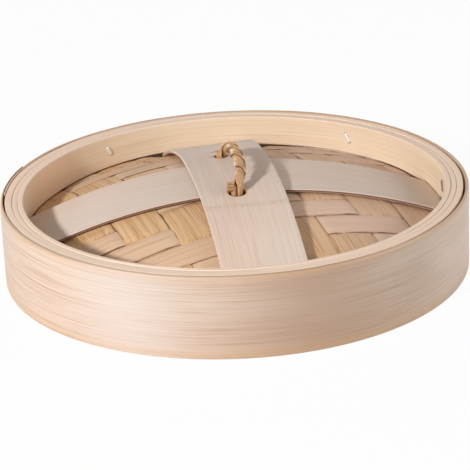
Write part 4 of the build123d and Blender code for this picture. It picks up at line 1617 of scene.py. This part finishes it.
# Side of the square picture and focal length of its lens in pixels, and the pixel that the lens looks at
PICTURE_SIZE = 470
FOCAL_PIXELS = 2200
AXIS_RIGHT, AXIS_DOWN = 235.62, 224.1
SENSOR_WIDTH = 36.0
CLIP_NEAR, CLIP_FAR = 0.05, 20.0


def look_from(azimuth, elevation):
    """Direction towards a place round the lid, turned from the front to the right."""
    flat = math.cos(elevation)
    return Vector((math.sin(azimuth) * flat, -math.cos(azimuth) * flat, math.sin(elevation)))


def studio_lamp(name, toward, distance, size, watts, tint):
    """A round lamp that looks at the lid from a direction."""
    light = bpy.data.lights.new(name, "AREA")
    light.shape = "DISK"
    light.size = size
    light.energy = watts
    light.color = tint
    lamp = bpy.data.objects.new(name, light)
    lamp.location = toward * distance
    lamp.rotation_euler = toward.to_track_quat("Z", "Y").to_euler()
    bpy.context.scene.collection.objects.link(lamp)


def white_floor(finish, glow):
    """A pale floor that takes the lid's shadow and looks plain white to the camera outside the rim."""
    recipe = Recipe("studio_floor")
    recipe.shader.inputs["Base Color"].default_value = (*finish.floor, 1)
    recipe.shader.inputs["Roughness"].default_value = 1.0
    recipe.shader.inputs["Specular IOR Level"].default_value = 0.0
    path = recipe.add("ShaderNodeLightPath")
    seen = recipe.math("MAXIMUM", path.outputs["Is Camera Ray"], path.outputs["Is Glossy Ray"])
    seen = recipe.math("MAXIMUM", seen, path.outputs["Is Transmission Ray"])
    place = recipe.add("ShaderNodeVectorMath", operation="LENGTH")
    recipe.join(recipe.add("ShaderNodeNewGeometry").outputs["Position"], place.inputs[0])
    outside = recipe.math("GREATER_THAN", place.outputs["Value"], node_radius("middle_hoop"))
    seen = recipe.math("MULTIPLY", seen, outside)
    white = recipe.add("ShaderNodeEmission")
    blend = recipe.add("ShaderNodeMixShader")
    recipe.join(recipe.math("MULTIPLY", seen, glow), blend.inputs[0])
    recipe.join(recipe.shader.outputs[0], blend.inputs[1])
    recipe.join(white.outputs[0], blend.inputs[2])
    recipe.join(blend.outputs[0], recipe.tree.nodes["Material Output"].inputs["Surface"])
    return recipe.material


def lay_floor(scene):
    """A wide floor just under the lid, which belongs to the stage."""
    mesh = bpy.data.meshes.new("studio_floor")
    half = FLOOR_HALF
    corners = [(-half, -half, 0), (half, -half, 0), (half, half, 0), (-half, half, 0)]
    mesh.from_pydata(corners, [], [(0, 1, 2, 3)])
    mesh.materials.append(white_floor(scene.lid_finish, scene.lid_stage.floor_glow))
    floor = bpy.data.objects.new("studio_floor", mesh)
    floor.location.z = -FLOOR_DROP
    scene.collection.objects.link(floor)


def light_world(scene):
    """A warm light from all round that looks plain white to the camera."""
    stage = scene.lid_stage
    world = bpy.data.worlds.new("studio_world")
    scene.world = world
    world.use_nodes = True
    nodes, links = world.node_tree.nodes, world.node_tree.links
    background = nodes["Background"]
    path = nodes.new("ShaderNodeLightPath")
    strength = nodes.new("ShaderNodeMapRange")
    strength.inputs["To Min"].default_value = stage.fill
    strength.inputs["To Max"].default_value = 1.0
    seen = nodes.new("ShaderNodeMath")
    seen.operation = "MAXIMUM"
    links.new(path.outputs["Is Camera Ray"], seen.inputs[0])
    links.new(path.outputs["Is Glossy Ray"], seen.inputs[1])
    links.new(seen.outputs[0], strength.inputs["Value"])
    links.new(strength.outputs["Result"], background.inputs["Strength"])
    tint = nodes.new("ShaderNodeMix")
    tint.data_type = "RGBA"
    tint.inputs[Recipe.FIRST].default_value = (*stage.fill_tint, 1)
    tint.inputs[Recipe.SECOND].default_value = (*WHITE, 1)
    links.new(seen.outputs[0], tint.inputs[Recipe.FACTOR])
    links.new(tint.outputs[Recipe.RESULT], background.inputs["Color"])


def hang_lamps(stage):
    """The key lamp on the left, the soft lamp on the right and a low lamp behind."""
    key = look_from(-stage.key_azimuth, stage.key_elevation)
    studio_lamp("key_lamp", key, stage.key_distance, stage.key_size, stage.key_power, WHITE)
    side = look_from(-stage.side_azimuth, stage.side_elevation)
    studio_lamp("side_lamp", side, stage.side_distance, stage.side_size, stage.side_power, stage.side_tint)
    rear = look_from(-stage.back_azimuth, stage.back_elevation)
    studio_lamp("back_lamp", rear, stage.side_distance, stage.back_size, stage.back_power, WHITE)


def set_camera(scene):
    """The camera, a little to the left of the front and tilted about its own axis."""
    stage = scene.lid_stage
    lens = bpy.data.cameras.new("camera")
    lens.sensor_width = SENSOR_WIDTH
    lens.lens = SENSOR_WIDTH * FOCAL_PIXELS / PICTURE_SIZE
    lens.shift_x = (PICTURE_SIZE / 2 - AXIS_RIGHT) / PICTURE_SIZE
    lens.shift_y = (AXIS_DOWN - PICTURE_SIZE / 2) / PICTURE_SIZE
    lens.clip_start, lens.clip_end = CLIP_NEAR, CLIP_FAR
    camera = bpy.data.objects.new("camera", lens)
    back = look_from(stage.view_azimuth, stage.view_elevation)
    camera.location = back * stage.view_distance + Vector((0, 0, stage.aim_height))
    level = back.to_track_quat("Z", "Y").to_matrix().to_4x4()
    roll = Matrix.Rotation(stage.view_roll, 4, "Z")
    camera.rotation_euler = (level @ roll).to_euler()
    scene.collection.objects.link(camera)
    scene.camera = camera


class STEAMERLID_OT_stage(bpy.types.Operator):
    """Set the pale floor, the studio light and the camera"""

    bl_idname = "steamer_lid.stage"
    bl_label = "Set Stage"

    def execute(self, context):
        scene = context.scene
        scene.view_settings.view_transform = "Standard"
        lay_floor(scene)
        light_world(scene)
        hang_lamps(scene.lid_stage)
        set_camera(scene)
        return {"FINISHED"}


class VIEW3D_PT_steamer_lid(bpy.types.Panel):
    """Steps and sizes of the steamer lid"""

    bl_idname = "VIEW3D_PT_steamer_lid"
    bl_label = "Steamer Lid"
    bl_space_type = "VIEW_3D"
    bl_region_type = "UI"
    bl_category = "Steamer Lid"

    def draw(self, context):
        layout = self.layout
        for operator in OPERATORS:
            layout.operator(operator.bl_idname)
        for key, settings in SETTINGS.items():
            box = layout.box()
            box.label(text=settings.__doc__)
            for field in settings.__annotations__:
                box.prop(getattr(context.scene, key), field)


OPERATORS = (
    STEAMERLID_OT_hoops,
    STEAMERLID_OT_weave,
    STEAMERLID_OT_straps,
    STEAMERLID_OT_loop,
    STEAMERLID_OT_staples,
    STEAMERLID_OT_stage,
)
CLASSES = (*SETTINGS.values(), *OPERATORS, VIEW3D_PT_steamer_lid)


def register():
    for kind in CLASSES:
        bpy.utils.register_class(kind)
    for key, settings in SETTINGS.items():
        setattr(bpy.types.Scene, key, PointerProperty(type=settings))


def unregister():
    for key in SETTINGS:
        delattr(bpy.types.Scene, key)
    for kind in reversed(CLASSES):
        bpy.utils.unregister_class(kind)


def main():
    register()
    bpy.ops.steamer_lid.hoops()
    bpy.ops.steamer_lid.weave()
    bpy.ops.steamer_lid.straps()
    bpy.ops.steamer_lid.loop()
    bpy.ops.steamer_lid.staples()
    bpy.ops.steamer_lid.stage()


if __name__ == "__main__":
    main()
